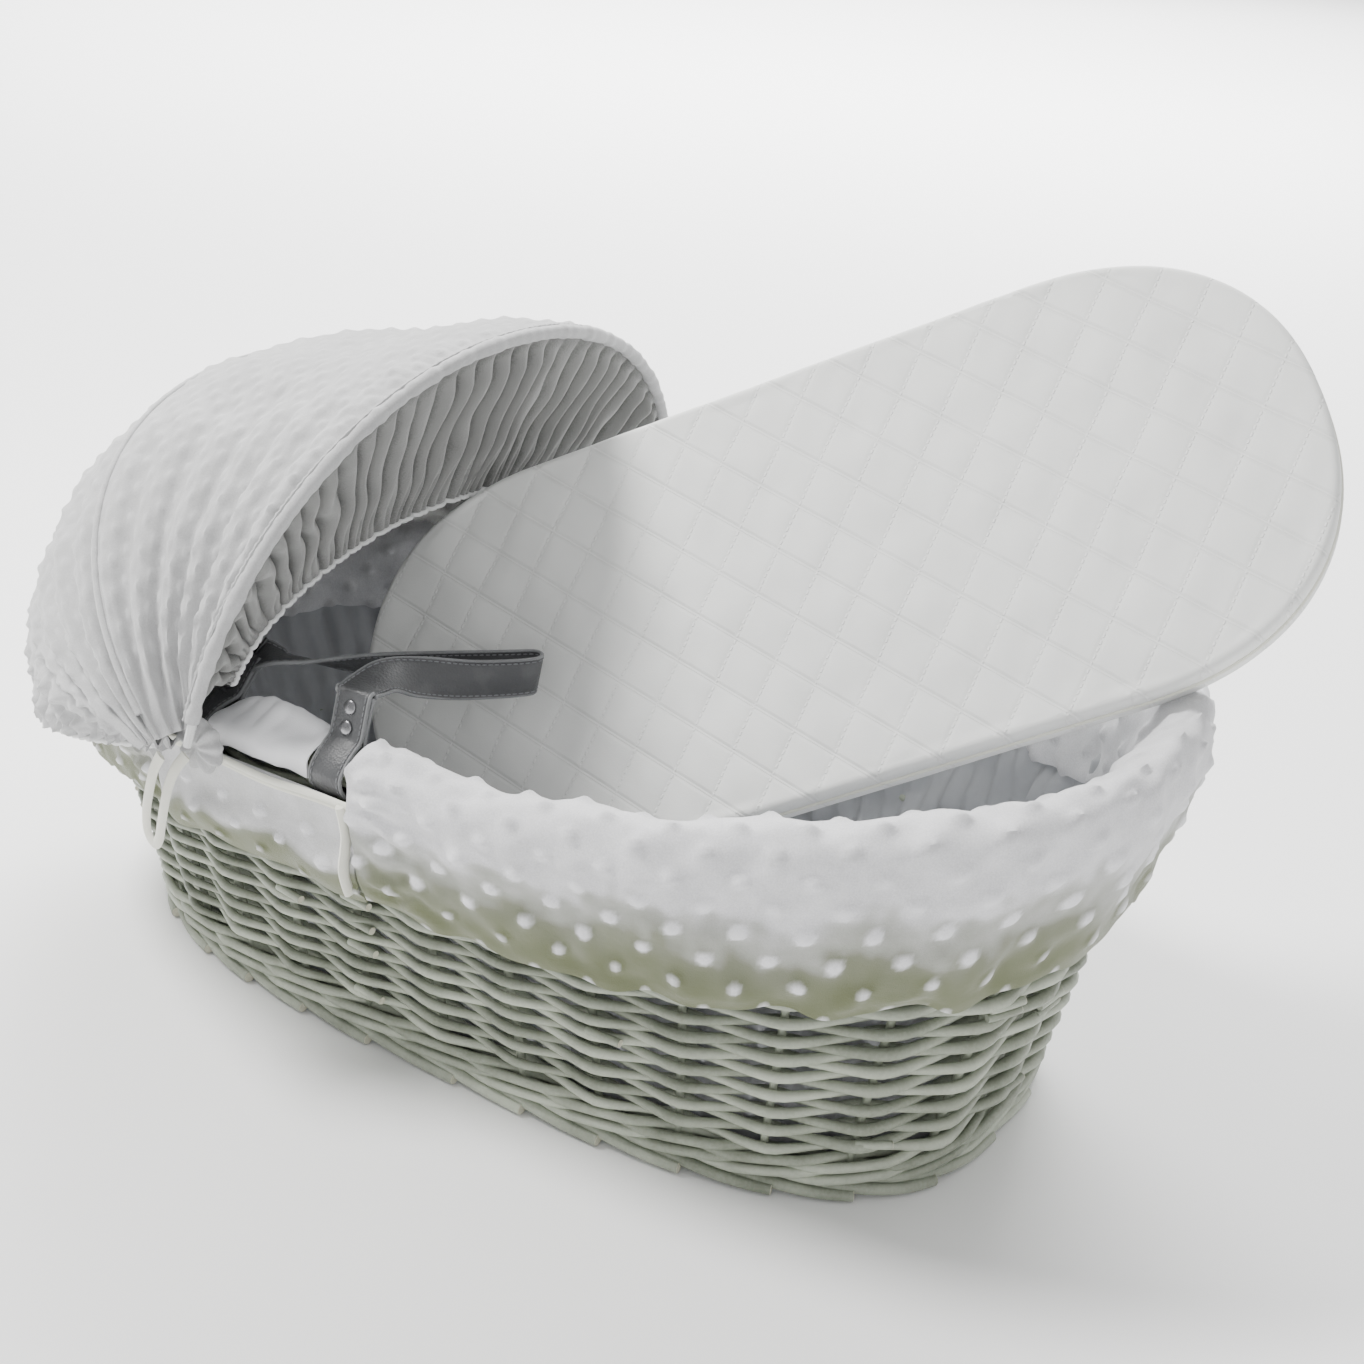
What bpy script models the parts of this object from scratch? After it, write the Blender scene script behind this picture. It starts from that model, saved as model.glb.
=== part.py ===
"""Moses basket cradle: woven basket, fabric cover, folding hood, two leather handles and a loose mattress.

Metres, +Z up. The origin is the centre of the base's underside, +X runs to the foot end, the hood is at -X
and -Y is the near long side.
"""

import math

import bmesh
import bpy
from mathutils import Matrix, Vector

# Basket: superellipse plans at the base and at the rim, joined by a wall that flares more near the top.
BASE_HALF = (0.343, 0.170)
BASE_POWER = 3.0
RIM_HALF = (0.420, 0.216)
RIM_POWER = 2.43
RIM_HEIGHT = 0.242
FOOT_RISE = 0.055
HEAD_RISE = -0.035
FLARE_POWER = 1.15
STATIONS = 56

GAP = 0.0004  # left between pieces that touch
BOARD_THICK = 0.008
BORDER_RADIUS = 0.009
BORDER_DROP = 0.0115
WALL_HALF = 0.006
FABRIC = 0.003

# The handle openings in the cover, as the X of their two ends.
OPENING_X = (-0.205, -0.012)
LINING_X = (-0.142, -0.062)

# Hood: arches that fan about the hinge line. Each knot is (fan angle, radius, half width).
HOOD_PIVOT = (-0.131, 0.237)
HOOD_POWER = 2.1
HOOD_KNOTS = (
    (75.6, 0.242, 0.257), (106, 0.222, 0.254), (136, 0.256, 0.276), (167, 0.290, 0.280), (197, 0.350, 0.250),
)
BOW_ANGLE = 75.6
SEAM_ANGLE = 136
HEM_ANGLE = 197
BOW_RADIUS = 0.003
CASING_RADIUS = 0.006
VALANCE_INNER = (0.105, 0.226)  # radius and half width of its elastic edge
VALANCE_SET_BACK = 0.022
ELASTIC_RADIUS = 0.002
CASING_CLEAR = 8.0  # degrees of the fan between the bow and the edge of the canopy
SEAM_CLEAR = 0.6  # degrees between the seam and the panel on each side of it
CORNER_PROFILE = ((0.009, -0.006), (0.0145, -0.0035), (0.0150, 0.0), (0.0145, 0.0035), (0.009, 0.006))
PANEL_FOOT = 0.085  # share of an arch that the cloth panels leave free at each foot
EDGE_FOOT = 0.09
CORNER_AT = (0.2455, -0.003)  # how far out the gathered corners sit, and how far below the hinge line

# Handles.
STRAP_WIDTH = 0.028
STRAP_THICK = 0.003
LOOP_RADIUS = 0.0140
DOUBLED = 0.052  # how far the strap's end lies back along it, from the border's centre
RIVETS_AT = (0.0295, 0.0430)
RIVET_SHANK = 0.0020
RIVET_HEAD = 0.0046
RIVET_HOLE = 0.0023
LOOP_DROP = BORDER_DROP + LOOP_RADIUS + STRAP_THICK / 2 + 0.004  # clear below a strap's loop

# Mattress, leaning out of the basket: its own X runs along it, its Z is the thickness.
MATTRESS_HALF = (0.345, 0.149)
MATTRESS_STRAIGHT = 0.179
MATTRESS_POWER = 2.3
MATTRESS_THICK = 0.035
MATTRESS_TOP_CENTRE = (0.155, 0.038, 0.3465)
MATTRESS_YAW, MATTRESS_PITCH, MATTRESS_ROLL = 24.6, -25.75, 52.3
COVER_CLOTH = 0.0015
MATTRESS_EDGE = 0.006  # bevel round both faces
SEAM_LIP = 0.0012  # half the gap that the seam tape fills

TIE_RADIUS = 0.002


def material(name, colour, roughness, metallic=0.0):
    made = bpy.data.materials.new(name)
    made.use_nodes = True
    shader = made.node_tree.nodes["Principled BSDF"]
    shader.inputs["Base Color"].default_value = (*colour, 1)
    shader.inputs["Roughness"].default_value = roughness
    shader.inputs["Metallic"].default_value = metallic
    made.diffuse_color = (*colour, 1)
    return made


def clear_scene():
    for old in list(bpy.data.objects):
        bpy.data.objects.remove(old, do_unlink=True)


def place(name, mesh, finish, sharp_angle=40):
    """Puts a mesh in the scene as one named piece, its normals facing out."""
    shell = bmesh.new()
    shell.from_mesh(mesh)
    bmesh.ops.recalc_face_normals(shell, faces=shell.faces)
    shell.to_mesh(mesh)
    shell.free()
    mesh.shade_smooth()
    mesh.set_sharp_from_angle(angle=math.radians(sharp_angle))
    mesh.materials.append(finish)
    piece = bpy.data.objects.new(name, mesh)
    bpy.context.scene.collection.objects.link(piece)
    return piece


def loft(name, sections, finish, ring=False, sharp_angle=40):
    """A closed body through sections with equal numbers of points; ring joins the last to the first."""
    around = len(sections[0])
    points = [tuple(p) for section in sections for p in section]
    faces = []
    steps = len(sections) if ring else len(sections) - 1
    for i in range(steps):
        here, there = i * around, ((i + 1) % len(sections)) * around
        for j in range(around):
            k = (j + 1) % around
            faces.append((here + j, here + k, there + k, there + j))
    if not ring:
        faces.append(tuple(range(around)))
        last = (len(sections) - 1) * around
        faces.append(tuple(range(last, last + around)))
    mesh = bpy.data.meshes.new(name)
    mesh.from_pydata(points, [], faces)
    return place(name, mesh, finish, sharp_angle)


def signed_power(value, power):
    return math.copysign(abs(value) ** power, value)


# ---- basket ----


def rim_z(x):
    rise = FOOT_RISE if x > 0 else HEAD_RISE
    return RIM_HEIGHT + rise * (x / RIM_HALF[0]) ** 2


def wall_point(angle, level, offset):
    """A point of the wall: level runs from 0 at the base to 1 at the rim, offset is outwards."""
    share = max(level, 0.0) ** FLARE_POWER
    half_x, half_y = (BASE_HALF[i] + (RIM_HALF[i] - BASE_HALF[i]) * share + offset for i in (0, 1))
    power = 2 / (BASE_POWER + (RIM_POWER - BASE_POWER) * share)
    x = half_x * signed_power(math.cos(angle), power)
    y = half_y * signed_power(math.sin(angle), power)
    return Vector((x, y, level * rim_z(x)))


def rim_point(angle, offset, drop):
    """A point near the rim, given by its distance below it."""
    return wall_point(angle, 1 - drop / RIM_HEIGHT, offset)


def rim_angle(x, side):
    """The angle round the plan at which the rim stands at this X; side is -1 on the near side."""
    cosine = signed_power(x / RIM_HALF[0], RIM_POWER / 2)
    return math.acos(cosine) if side > 0 else 2 * math.pi - math.acos(cosine)


def whole_turn():
    return [2 * math.pi * i / STATIONS for i in range(STATIONS)]


def part_turn(start, end):
    steps = max(4, round(STATIONS * (end - start) / (2 * math.pi)))
    return [start + (end - start) * i / steps for i in range(steps + 1)]


def at_height(angle, offset, z):
    """A point of the wall at a height measured from the table."""
    point = wall_point(angle, z / RIM_HEIGHT, offset)
    return Vector((point.x, point.y, z))


# Cross-sections of the rings at the foot of the wall, as (offset, height).
FOOT_SECTION = (
    (-0.0078, 0.0), (0.0065, 0.0), (0.0085, 0.004), (0.0080, 0.011), (0.005, 0.0135), (-0.0078, 0.0135),
)
WALE_SECTION = ((-0.0065, 0.0139), (0.0065, 0.0139), (0.0075, 0.024), (0.0065, 0.0345), (-0.0065, 0.0345))
WALL_FOOT = 0.0352  # height at which the randed wall starts
WALL_LEVELS = (0.38, 0.60, 0.80)
BOARD_OFFSET = -0.0083
LINER_OFFSETS = (-0.0095, -0.0125)
LINER_DROP = 0.031


def make_base(wood, willow):
    board_rings = [[at_height(a, BOARD_OFFSET, z) for a in whole_turn()] for z in (0, BOARD_THICK)]
    loft("base_board", board_rings, wood)
    for name, outline in (("foot_border", FOOT_SECTION), ("lower_wale", WALE_SECTION)):
        loft(name, [[at_height(a, o, z) for o, z in outline] for a in whole_turn()], willow, ring=True)


def wall_line(angle, offset, foot, levels, top_drop):
    """Points up the wall at one offset, from a height above the table to a drop below the rim."""
    middle = [wall_point(angle, level, offset) for level in levels]
    return [at_height(angle, offset, foot)] + middle + [rim_point(angle, offset, top_drop)]


def make_side(willow):
    def section(angle):
        x = rim_point(angle, 0, 0).x
        beside_strap = OPENING_X[0] - 0.03 < x < OPENING_X[1] + 0.04
        top_drop = LOOP_DROP if beside_strap else BORDER_DROP + BORDER_RADIUS + GAP
        outer = wall_line(angle, WALL_HALF, WALL_FOOT, WALL_LEVELS, top_drop)
        return outer + wall_line(angle, -WALL_HALF, WALL_FOOT, WALL_LEVELS, top_drop)[::-1]

    loft("woven_side", [section(a) for a in whole_turn()], willow, ring=True)
    corners = [math.radians(60 * i) for i in range(6)]
    outline = [(BORDER_RADIUS * math.cos(c), BORDER_DROP - BORDER_RADIUS * math.sin(c)) for c in corners]
    rings = [[rim_point(a, o, d) for o, d in outline] for a in whole_turn()]
    loft("rim_border", rings, willow, ring=True, sharp_angle=60)


def make_liner(cloth):
    low = BOARD_THICK + GAP
    high = low + FABRIC
    floor_rings = [[at_height(a, LINER_OFFSETS[0] - GAP, z) for a in whole_turn()] for z in (low, high)]
    loft("liner_floor", floor_rings, cloth)

    def section(angle):
        outer, inner = (wall_line(angle, o, high + GAP, (0.3, 0.6), LINER_DROP) for o in LINER_OFFSETS)
        return outer + inner[::-1]

    loft("liner_side", [section(a) for a in whole_turn()], cloth, ring=True)


# Cross-sections of the cloth at the rim, as (offset, drop). The padded cover goes from its inner edge over
# the top and down to the skirt's hem and back; the flap is the skirt below a handle opening.
COVER_SECTION = (
    (-0.0130, 0.050), (-0.0130, 0.008), (-0.0105, 0.0005), (-0.005, -0.0030), (0.005, -0.0030),
    (0.0105, 0.0005), (0.0115, 0.020), (0.0130, 0.050), (0.0160, 0.092), (0.0205, 0.092),
    (0.0225, 0.050), (0.0235, 0.018), (0.0205, -0.002), (0.0120, -0.0120), (0.0, -0.0155),
    (-0.0120, -0.0120), (-0.0200, -0.002), (-0.0215, 0.020), (-0.0190, 0.050),
)
FLAP_SECTION = (
    (0.0185, 0.026), (0.0165, 0.060), (0.0150, 0.100), (0.0200, 0.100), (0.0215, 0.060), (0.0235, 0.026),
)
LINING_SECTION = (
    (-0.0160, 0.048), (-0.0160, 0.006), (-0.0175, -0.004), (-0.0205, -0.004), (-0.0215, 0.006),
    (-0.0210, 0.048),
)
BINDING_RADIUS = 0.003
BINDING_AT = (0.0212, 0.0222)  # offset and drop of the bound edge's middle
SLIT = math.radians(0.15)  # the slit between a flap and the cover beside it


def make_cover(plush, binding, cloth):
    near = [rim_angle(x, -1) for x in OPENING_X]
    far = [rim_angle(x, 1) for x in OPENING_X]

    def along_rim(name, ends, outline, finish):
        rings = [[rim_point(a, o, d) for o, d in outline] for a in part_turn(*ends)]
        loft(name, rings, finish, sharp_angle=60)

    along_rim("cover_head", (far[0], near[0]), COVER_SECTION, plush)
    along_rim("cover_foot", (near[1] - 2 * math.pi, far[1]), COVER_SECTION, plush)
    corners = [math.radians(45 * i) for i in range(8)]
    offset, drop = BINDING_AT
    bound = [(offset + BINDING_RADIUS * math.cos(c), drop - BINDING_RADIUS * math.sin(c)) for c in corners]
    for side, sign, (first, last) in (("near", -1, near), ("far", 1, far[::-1])):
        along_rim(f"cover_flap_{side}", (first + SLIT, last - SLIT), FLAP_SECTION, plush)
        along_rim(f"opening_binding_{side}", (first + SLIT, last - SLIT), bound, binding)
        along_rim(f"lining_flap_{side}", sorted(rim_angle(x, sign) for x in LINING_X), LINING_SECTION, cloth)


# ---- hood ----


def cubic(before, low, high, after, share):
    """Catmull-Rom value between low and high."""
    bend = 2 * before - 5 * low + 4 * high - after + share * (3 * (low - high) + after - before)
    return low + 0.5 * share * (high - before + share * bend)


def hood_size(angle):
    """(radius, half width) of the arch at this fan angle, on a smooth curve through the knots."""
    last = len(HOOD_KNOTS) - 2
    k = next((i for i in range(last) if angle <= HOOD_KNOTS[i + 1][0]), last)
    before, low, high, after = (HOOD_KNOTS[min(max(k + i, 0), last + 1)] for i in (-1, 0, 1, 2))
    share = (angle - low[0]) / (high[0] - low[0])
    return tuple(cubic(before[i], low[i], high[i], after[i], share) for i in (1, 2))


def arch_point(angle, turn, radius, half_width, back=0.0):
    """A point of an arch that leans at the fan angle; turn runs from 0 at the far foot to pi at the near."""
    up = math.sin(turn) ** (2 / HOOD_POWER) * radius
    across = signed_power(math.cos(turn), 2 / HOOD_POWER) * half_width
    lean = math.radians(angle)
    x = HOOD_PIVOT[0] + up * math.cos(lean) - back * math.sin(lean)
    return Vector((x, across, HOOD_PIVOT[1] + up * math.sin(lean) + back * math.cos(lean)))


def turns(count, start=0.0):
    """Angles along an arch; start leaves out the same stretch at both feet."""
    low = math.pi * start
    return [low + (math.pi - 2 * low) * i / count for i in range(count + 1)]


def hood_shell(name, start, end, finish, steps=6):
    """A cloth panel of the hood between two fan angles, closed at its edges."""
    sections = []
    for i in range(steps + 1):
        angle = start + (end - start) * i / steps
        radius, half = hood_size(angle)
        outer = [arch_point(angle, t, radius, half) for t in turns(18, PANEL_FOOT)]
        inner = [arch_point(angle, t, radius - FABRIC, half - FABRIC) for t in turns(18, PANEL_FOOT)]
        sections.append(outer + inner[::-1])
    return loft(name, sections, finish)


def pipe(name, path, radius, finish, sides=8, bore=0.0):
    """A round bar along a path, or a tube with a bore from end to end."""
    stations = []
    side = Vector((1, 0, 0))
    for i, point in enumerate(path):
        tangent = (path[min(i + 1, len(path) - 1)] - path[max(i - 1, 0)]).normalized()
        side = (side - tangent * side.dot(tangent)).normalized()
        stations.append((point, side.copy(), tangent.cross(side)))
    spokes = [2 * math.pi * j / sides for j in range(sides)]

    def circle(station, size):
        point, across, up = station
        return [point + across * (size * math.cos(s)) + up * (size * math.sin(s)) for s in spokes]

    outside = [circle(station, radius) for station in stations]
    if not bore:
        return loft(name, outside, finish, sharp_angle=60)
    inside = [circle(station, bore) for station in reversed(stations)]
    return loft(name, outside + inside, finish, ring=True, sharp_angle=60)


def hinge_empty(name, spot, pieces):
    """An empty on a joint's axis that the moving pieces hang on."""
    empty = bpy.data.objects.new(name, None)
    empty.location = spot
    bpy.context.scene.collection.objects.link(empty)
    bpy.context.view_layer.update()
    for piece in pieces:
        piece.parent = empty
        piece.matrix_parent_inverse = empty.matrix_world.inverted()


def make_valance(plush, elastic):
    """The strip that hangs in from the bow, and the elastic along its inner edge."""
    radius, half = hood_size(BOW_ANGLE)
    inner_radius, inner_half = VALANCE_INNER
    inset = CASING_RADIUS + 2 * GAP
    sections = []
    for t in turns(20, EDGE_FOOT):
        front, back = [], []
        for share in (0, 0.25, 0.5, 0.75, 1):
            size = (radius - inset) * (1 - share) + inner_radius * share
            width = (half - inset) * (1 - share) + inner_half * share
            set_back = VALANCE_SET_BACK * share**1.5
            front.append(arch_point(BOW_ANGLE, t, size, width, set_back - FABRIC / 2))
            back.append(arch_point(BOW_ANGLE, t, size, width, set_back + FABRIC / 2))
        sections.append(front + back[::-1])
    strip = loft("hood_valance", sections, plush)
    reach = inner_radius - FABRIC, inner_half - FABRIC
    line = [arch_point(BOW_ANGLE, t, *reach, VALANCE_SET_BACK) for t in turns(20, EDGE_FOOT)]
    return [strip, pipe("hood_valance_elastic", line, ELASTIC_RADIUS, elastic, sides=6)]


def make_hood(plush, spring, elastic, binding):
    radius, half = hood_size(BOW_ANGLE)
    bow_line = [arch_point(BOW_ANGLE, t, radius, half) for t in turns(24)]
    bow = pipe("hood_bow", bow_line, BOW_RADIUS, spring)
    casing = pipe("hood_bow_casing", bow_line[1:-1], CASING_RADIUS, plush, bore=BOW_RADIUS + 2 * GAP)
    moving = [bow, casing] + make_valance(plush, elastic)
    hinge_empty("hood_pivot", (HOOD_PIVOT[0], 0, HOOD_PIVOT[1]), moving)

    hood_shell("hood_canopy", BOW_ANGLE + CASING_CLEAR, SEAM_ANGLE - SEAM_CLEAR, plush)
    hood_shell("hood_back", SEAM_ANGLE + SEAM_CLEAR, HEM_ANGLE, plush)
    radius, half = hood_size(SEAM_ANGLE)
    proud = ELASTIC_RADIUS + GAP
    seam_line = [arch_point(SEAM_ANGLE, t, radius + proud, half + proud) for t in turns(20, EDGE_FOOT)]
    pipe("hood_seam_piping", seam_line, ELASTIC_RADIUS, plush, sides=6)
    radius, half = hood_size(HEM_ANGLE)
    inset = FABRIC / 2
    below = ELASTIC_RADIUS + 2 * GAP
    hem_line = [arch_point(HEM_ANGLE, t, radius - inset, half - inset, below) for t in turns(20, EDGE_FOOT)]
    pipe("hood_hem_elastic", hem_line, ELASTIC_RADIUS, elastic, sides=6)

    out, below = CORNER_AT
    for side, sign in (("near", -1), ("far", 1)):
        spot = Vector((HOOD_PIVOT[0], sign * out, HOOD_PIVOT[1] + below))
        turned(f"hood_corner_{side}", CORNER_PROFILE, spot, Vector((0, sign, 0)), binding, sides=20)


def turned(name, profile, origin, axis, finish, sides=16):
    """A turned piece: profile lists (radius, distance along the axis), and both ends are closed."""
    side = axis.cross(Vector((1, 0, 0)) if abs(axis.x) < 0.8 else Vector((0, 0, 1))).normalized()
    up = axis.cross(side)
    spokes = [2 * math.pi * j / sides for j in range(sides)]
    ring = [side * math.cos(s) + up * math.sin(s) for s in spokes]
    rings = [[origin + axis * along + out * radius for out in ring] for radius, along in profile]
    return loft(name, rings, finish)


# ---- handles ----

# Each strap's middle line from the head-side leg to the foot-side leg, with the way its inner edge points.
NEAR_STRAP = (
    ((-0.158, -0.190, 0.243), (1.0, 0.0, 0.0)),
    ((-0.138, -0.168, 0.268), (0.9, -0.4, 0.1)),
    ((-0.121, -0.154, 0.266), (0.8, -0.5, 0.35)),
    ((-0.093, -0.131, 0.264), (0.5, -0.4, 0.8)),
    ((-0.055, -0.105, 0.264), (0.2, -0.2, 1.0)),
    ((-0.021, -0.082, 0.265), (0.0, 0.0, 1.0)),
    ((-0.001, -0.067, 0.266), (0.1, 0.1, 1.0)),
    ((0.007, -0.075, 0.266), (0.1, 0.1, 1.0)),
    ((-0.003, -0.091, 0.266), (0.0, 0.0, 1.0)),
    ((-0.023, -0.114, 0.267), (-0.1, 0.1, 1.0)),
    ((-0.039, -0.140, 0.273), (-0.45, 0.2, 0.85)),
    ((-0.046, -0.162, 0.279), (-0.8, 0.2, 0.5)),
    ((-0.047, -0.181, 0.278), (-0.95, 0.0, 0.25)),
    ((-0.045, -0.204, 0.258), (-1.0, 0.0, 0.0)),
)
FAR_STRAP = (
    ((-0.164, 0.186, 0.243), (1.0, 0.0, 0.0)),
    ((-0.160, 0.160, 0.256), (1.0, 0.0, -0.1)),
    ((-0.155, 0.150, 0.238), (1.0, 0.0, -0.2)),
    ((-0.148, 0.148, 0.206), (0.9, 0.2, -0.2)),
    ((-0.140, 0.148, 0.170), (0.7, 0.5, 0.1)),
    ((-0.124, 0.147, 0.149), (0.4, 0.7, 0.4)),
    ((-0.102, 0.147, 0.141), (0.0, 0.8, 0.6)),
    ((-0.080, 0.148, 0.149), (-0.4, 0.7, 0.4)),
    ((-0.064, 0.150, 0.170), (-0.7, 0.5, 0.1)),
    ((-0.056, 0.150, 0.206), (-0.9, 0.2, -0.2)),
    ((-0.048, 0.154, 0.242), (-1.0, 0.0, -0.2)),
    ((-0.043, 0.167, 0.263), (-1.0, 0.0, -0.1)),
    ((-0.042, 0.193, 0.250), (-1.0, 0.0, 0.0)),
)
LEG_X = (-0.165, -0.040)


def border_centre(x, side):
    return rim_point(rim_angle(x, side), 0.0, BORDER_DROP)


def spline(points, steps):
    """Catmull-Rom points through the given ones."""
    last = len(points) - 1
    out = []
    for i in range(last):
        four = [points[min(max(i + k, 0), last)] for k in (-1, 0, 1, 2)]
        for j in range(steps):
            out.append(Vector([cubic(*(p[k] for p in four), j / steps) for k in range(3)]))
    out.append(Vector(points[last]))
    return out


def leg_line(x, side, toward, outer_first):
    """The looped leg at one end: up from the strap's free end, round the border and back up beside it.

    Returns the points from the free end to where the strap goes on, the border's direction there, the spots
    of its rivets and the way they face.
    """
    centre = border_centre(x, side)
    half = STRAP_WIDTH / 2
    border = (border_centre(x + half, side) - border_centre(x - half, side)).normalized()
    way = toward - centre
    along = (way - border * way.dot(border)).normalized()
    edge = border * (1 if outer_first else -1)
    face = along.cross(edge) * side
    beside = (STRAP_THICK + GAP) / 2
    tail = [(beside, DOUBLED), (beside, 0.040), (beside, 0.024), (0.0060, 0.0170), (0.0112, 0.0085)]
    bends = [math.radians(-22.5 * k) for k in range(9)]
    under = [(LOOP_RADIUS * math.cos(a), LOOP_RADIUS * math.sin(a)) for a in bends]
    rise = [(-n, h) for n, h in reversed(tail)]
    points = [centre + face * n + along * h for n, h in tail + under + rise]
    rivets = [centre + along * h for h in RIVETS_AT]
    return points, edge, rivets, face


def strap_path(keys, side):
    """The whole strap from one free end to the other: (points, edges, rivet spots with their axes)."""
    first, first_edge, first_rivets, first_face = leg_line(LEG_X[0], side, Vector(keys[0][0]), True)
    last, last_edge, last_rivets, last_face = leg_line(LEG_X[1], side, Vector(keys[-1][0]), False)
    middle = spline([first[-1]] + [k[0] for k in keys[1:-1]] + [last[-1]], 3)
    turned_edges = spline([first_edge] + [k[1] for k in keys[1:-1]] + [last_edge], 3)
    points = first + middle[1:-1] + last[::-1]
    edges = [first_edge] * len(first) + turned_edges[1:-1] + [last_edge] * len(last)
    rivets = [(spot, first_face) for spot in first_rivets] + [(spot, last_face) for spot in last_rivets]
    return points, edges, rivets


def ribbon(name, points, edges, finish):
    """A flat strap along the points; each edge direction is squared to the path."""
    half, thick = STRAP_WIDTH / 2, STRAP_THICK / 2
    outline = ((half, -thick), (half, thick), (-half, thick), (-half, -thick))
    sections = []
    for i, point in enumerate(points):
        tangent = (points[min(i + 1, len(points) - 1)] - points[max(i - 1, 0)]).normalized()
        edge = (edges[i] - tangent * edges[i].dot(tangent)).normalized()
        face = tangent.cross(edge)
        sections.append([point + edge * e + face * f for e, f in outline])
    return loft(name, sections, finish)


def punch(piece, name, spot, axis, finish):
    """Cuts a rivet's hole through both thicknesses of a strap."""
    reach = 2 * STRAP_THICK
    cutter = turned(name, ((RIVET_HOLE, -reach), (RIVET_HOLE, reach)), spot, axis, finish, sides=10)
    cutter.hide_render = True
    cutter.display_type = "WIRE"
    cut = piece.modifiers.new(name, "BOOLEAN")
    cut.operation = "DIFFERENCE"
    cut.object = cutter


def make_handles(leather, metal):
    lift = STRAP_THICK + 1.5 * GAP  # from the middle of the doubled strap to the underside of a rivet's head
    half_rivet = ((RIVET_SHANK, lift), (RIVET_HEAD, lift), (0.0036, lift + 0.0010), (0.0012, lift + 0.0016))
    profile = [(r, -along) for r, along in reversed(half_rivet)] + list(half_rivet)
    for side, sign, keys in (("near", -1, NEAR_STRAP), ("far", 1, FAR_STRAP)):
        points, edges, rivets = strap_path(keys, sign)
        strap = ribbon(f"handle_{side}", points, edges, leather)
        pieces = [strap]
        for number, (spot, face) in enumerate(rivets, 1):
            punch(strap, f"rivet_hole_{side}_{number}", spot, face, metal)
            pieces.append(turned(f"rivet_{side}_{number}", profile, spot, face, metal, sides=10))
        centres = [border_centre(x, sign) for x in LEG_X]
        hinge_empty(f"handle_hinge_{side}", (centres[0] + centres[1]) / 2, pieces)


# ---- ties ----

# The near tie's route, from one end down to its bend and back up; the far tie mirrors it.
NEAR_TIE = (
    (-0.134, -0.2560, 0.229), (-0.140, -0.2600, 0.219), (-0.1455, -0.2620, 0.205), (-0.150, -0.2622, 0.190),
    (-0.154, -0.2618, 0.176), (-0.158, -0.2610, 0.163), (-0.164, -0.2600, 0.1565), (-0.170, -0.2600, 0.1635),
    (-0.169, -0.2610, 0.178), (-0.164, -0.2625, 0.194), (-0.158, -0.2640, 0.209), (-0.153, -0.2650, 0.219),
    (-0.146, -0.2660, 0.229),
)


def make_ties(tape):
    for side, sign in (("near", 1), ("far", -1)):
        route = spline([Vector((x, y * sign, z)) for x, y, z in NEAR_TIE], 2)
        curve = bpy.data.curves.new(f"tie_{side}", "CURVE")
        curve.dimensions = "3D"
        line = curve.splines.new("POLY")
        line.points.add(len(route) - 1)
        for knot, point in zip(line.points, route):
            knot.co = (*point, 1)
        curve.bevel_depth = TIE_RADIUS
        curve.bevel_resolution = 2
        curve.use_fill_caps = True
        curve.materials.append(tape)
        bpy.context.scene.collection.objects.link(bpy.data.objects.new(f"tie_{side}", curve))


# ---- mattress ----


def mattress_outline(inset, count=44):
    """The mattress's outline in its own plane: straight sides and full round ends."""
    end = MATTRESS_HALF[0] - MATTRESS_STRAIGHT - inset
    half = MATTRESS_HALF[1] - inset
    points = []
    for i in range(count):
        angle = 2 * math.pi * (i + 0.5) / count
        straight = math.copysign(MATTRESS_STRAIGHT, math.cos(angle))
        x = straight + end * signed_power(math.cos(angle), 2 / MATTRESS_POWER)
        points.append((x, half * signed_power(math.sin(angle), 2 / MATTRESS_POWER)))
    return points


def mattress_seat():
    """Where the mattress stands: its own X along it, its Z out of its top face, its origin on that face."""
    turns_about = ((MATTRESS_YAW, "Z"), (MATTRESS_PITCH, "Y"), (MATTRESS_ROLL, "X"))
    seat = Matrix.Translation(MATTRESS_TOP_CENTRE)
    for degrees, axis in turns_about:
        seat = seat @ Matrix.Rotation(math.radians(degrees), 4, axis)
    return seat


def make_mattress(cotton, foam, tape):
    seat = mattress_seat()

    def stack(name, rings, finish, ring=False):
        sections = [[seat @ Vector((x, y, z)) for x, y in mattress_outline(inset)] for inset, z in rings]
        return loft(name, sections, finish, ring=ring)

    low, seam = -MATTRESS_THICK, -MATTRESS_THICK / 2
    cloth, edge = COVER_CLOTH, MATTRESS_EDGE
    core = cloth + GAP
    block = ((core + edge, low + core), (core, low + core + edge), (core, -core - edge), (core + edge, -core))
    stack("mattress_foam", block, foam)

    def half_cover(face, inward):
        """Rings of the cover from one face to the seam; inward is the way from that face into the foam."""
        lip = seam - inward * SEAM_LIP
        inner = ((cloth + edge, face + inward * cloth), (cloth, face + inward * (cloth + edge)), (cloth, lip))
        return inner + ((0.0, lip), (0.0, face + inward * edge), (edge, face))

    stack("mattress_cover_top", half_cover(0.0, -1), cotton)
    stack("mattress_cover_base", half_cover(low, 1), cotton)
    out, inside = -0.0017, 0.0003
    strip = ((inside, seam - 0.0008), (out, seam - 0.0006), (out, seam + 0.0006), (inside, seam + 0.0008))
    stack("mattress_seam_piping", strip, tape, ring=True)


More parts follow.
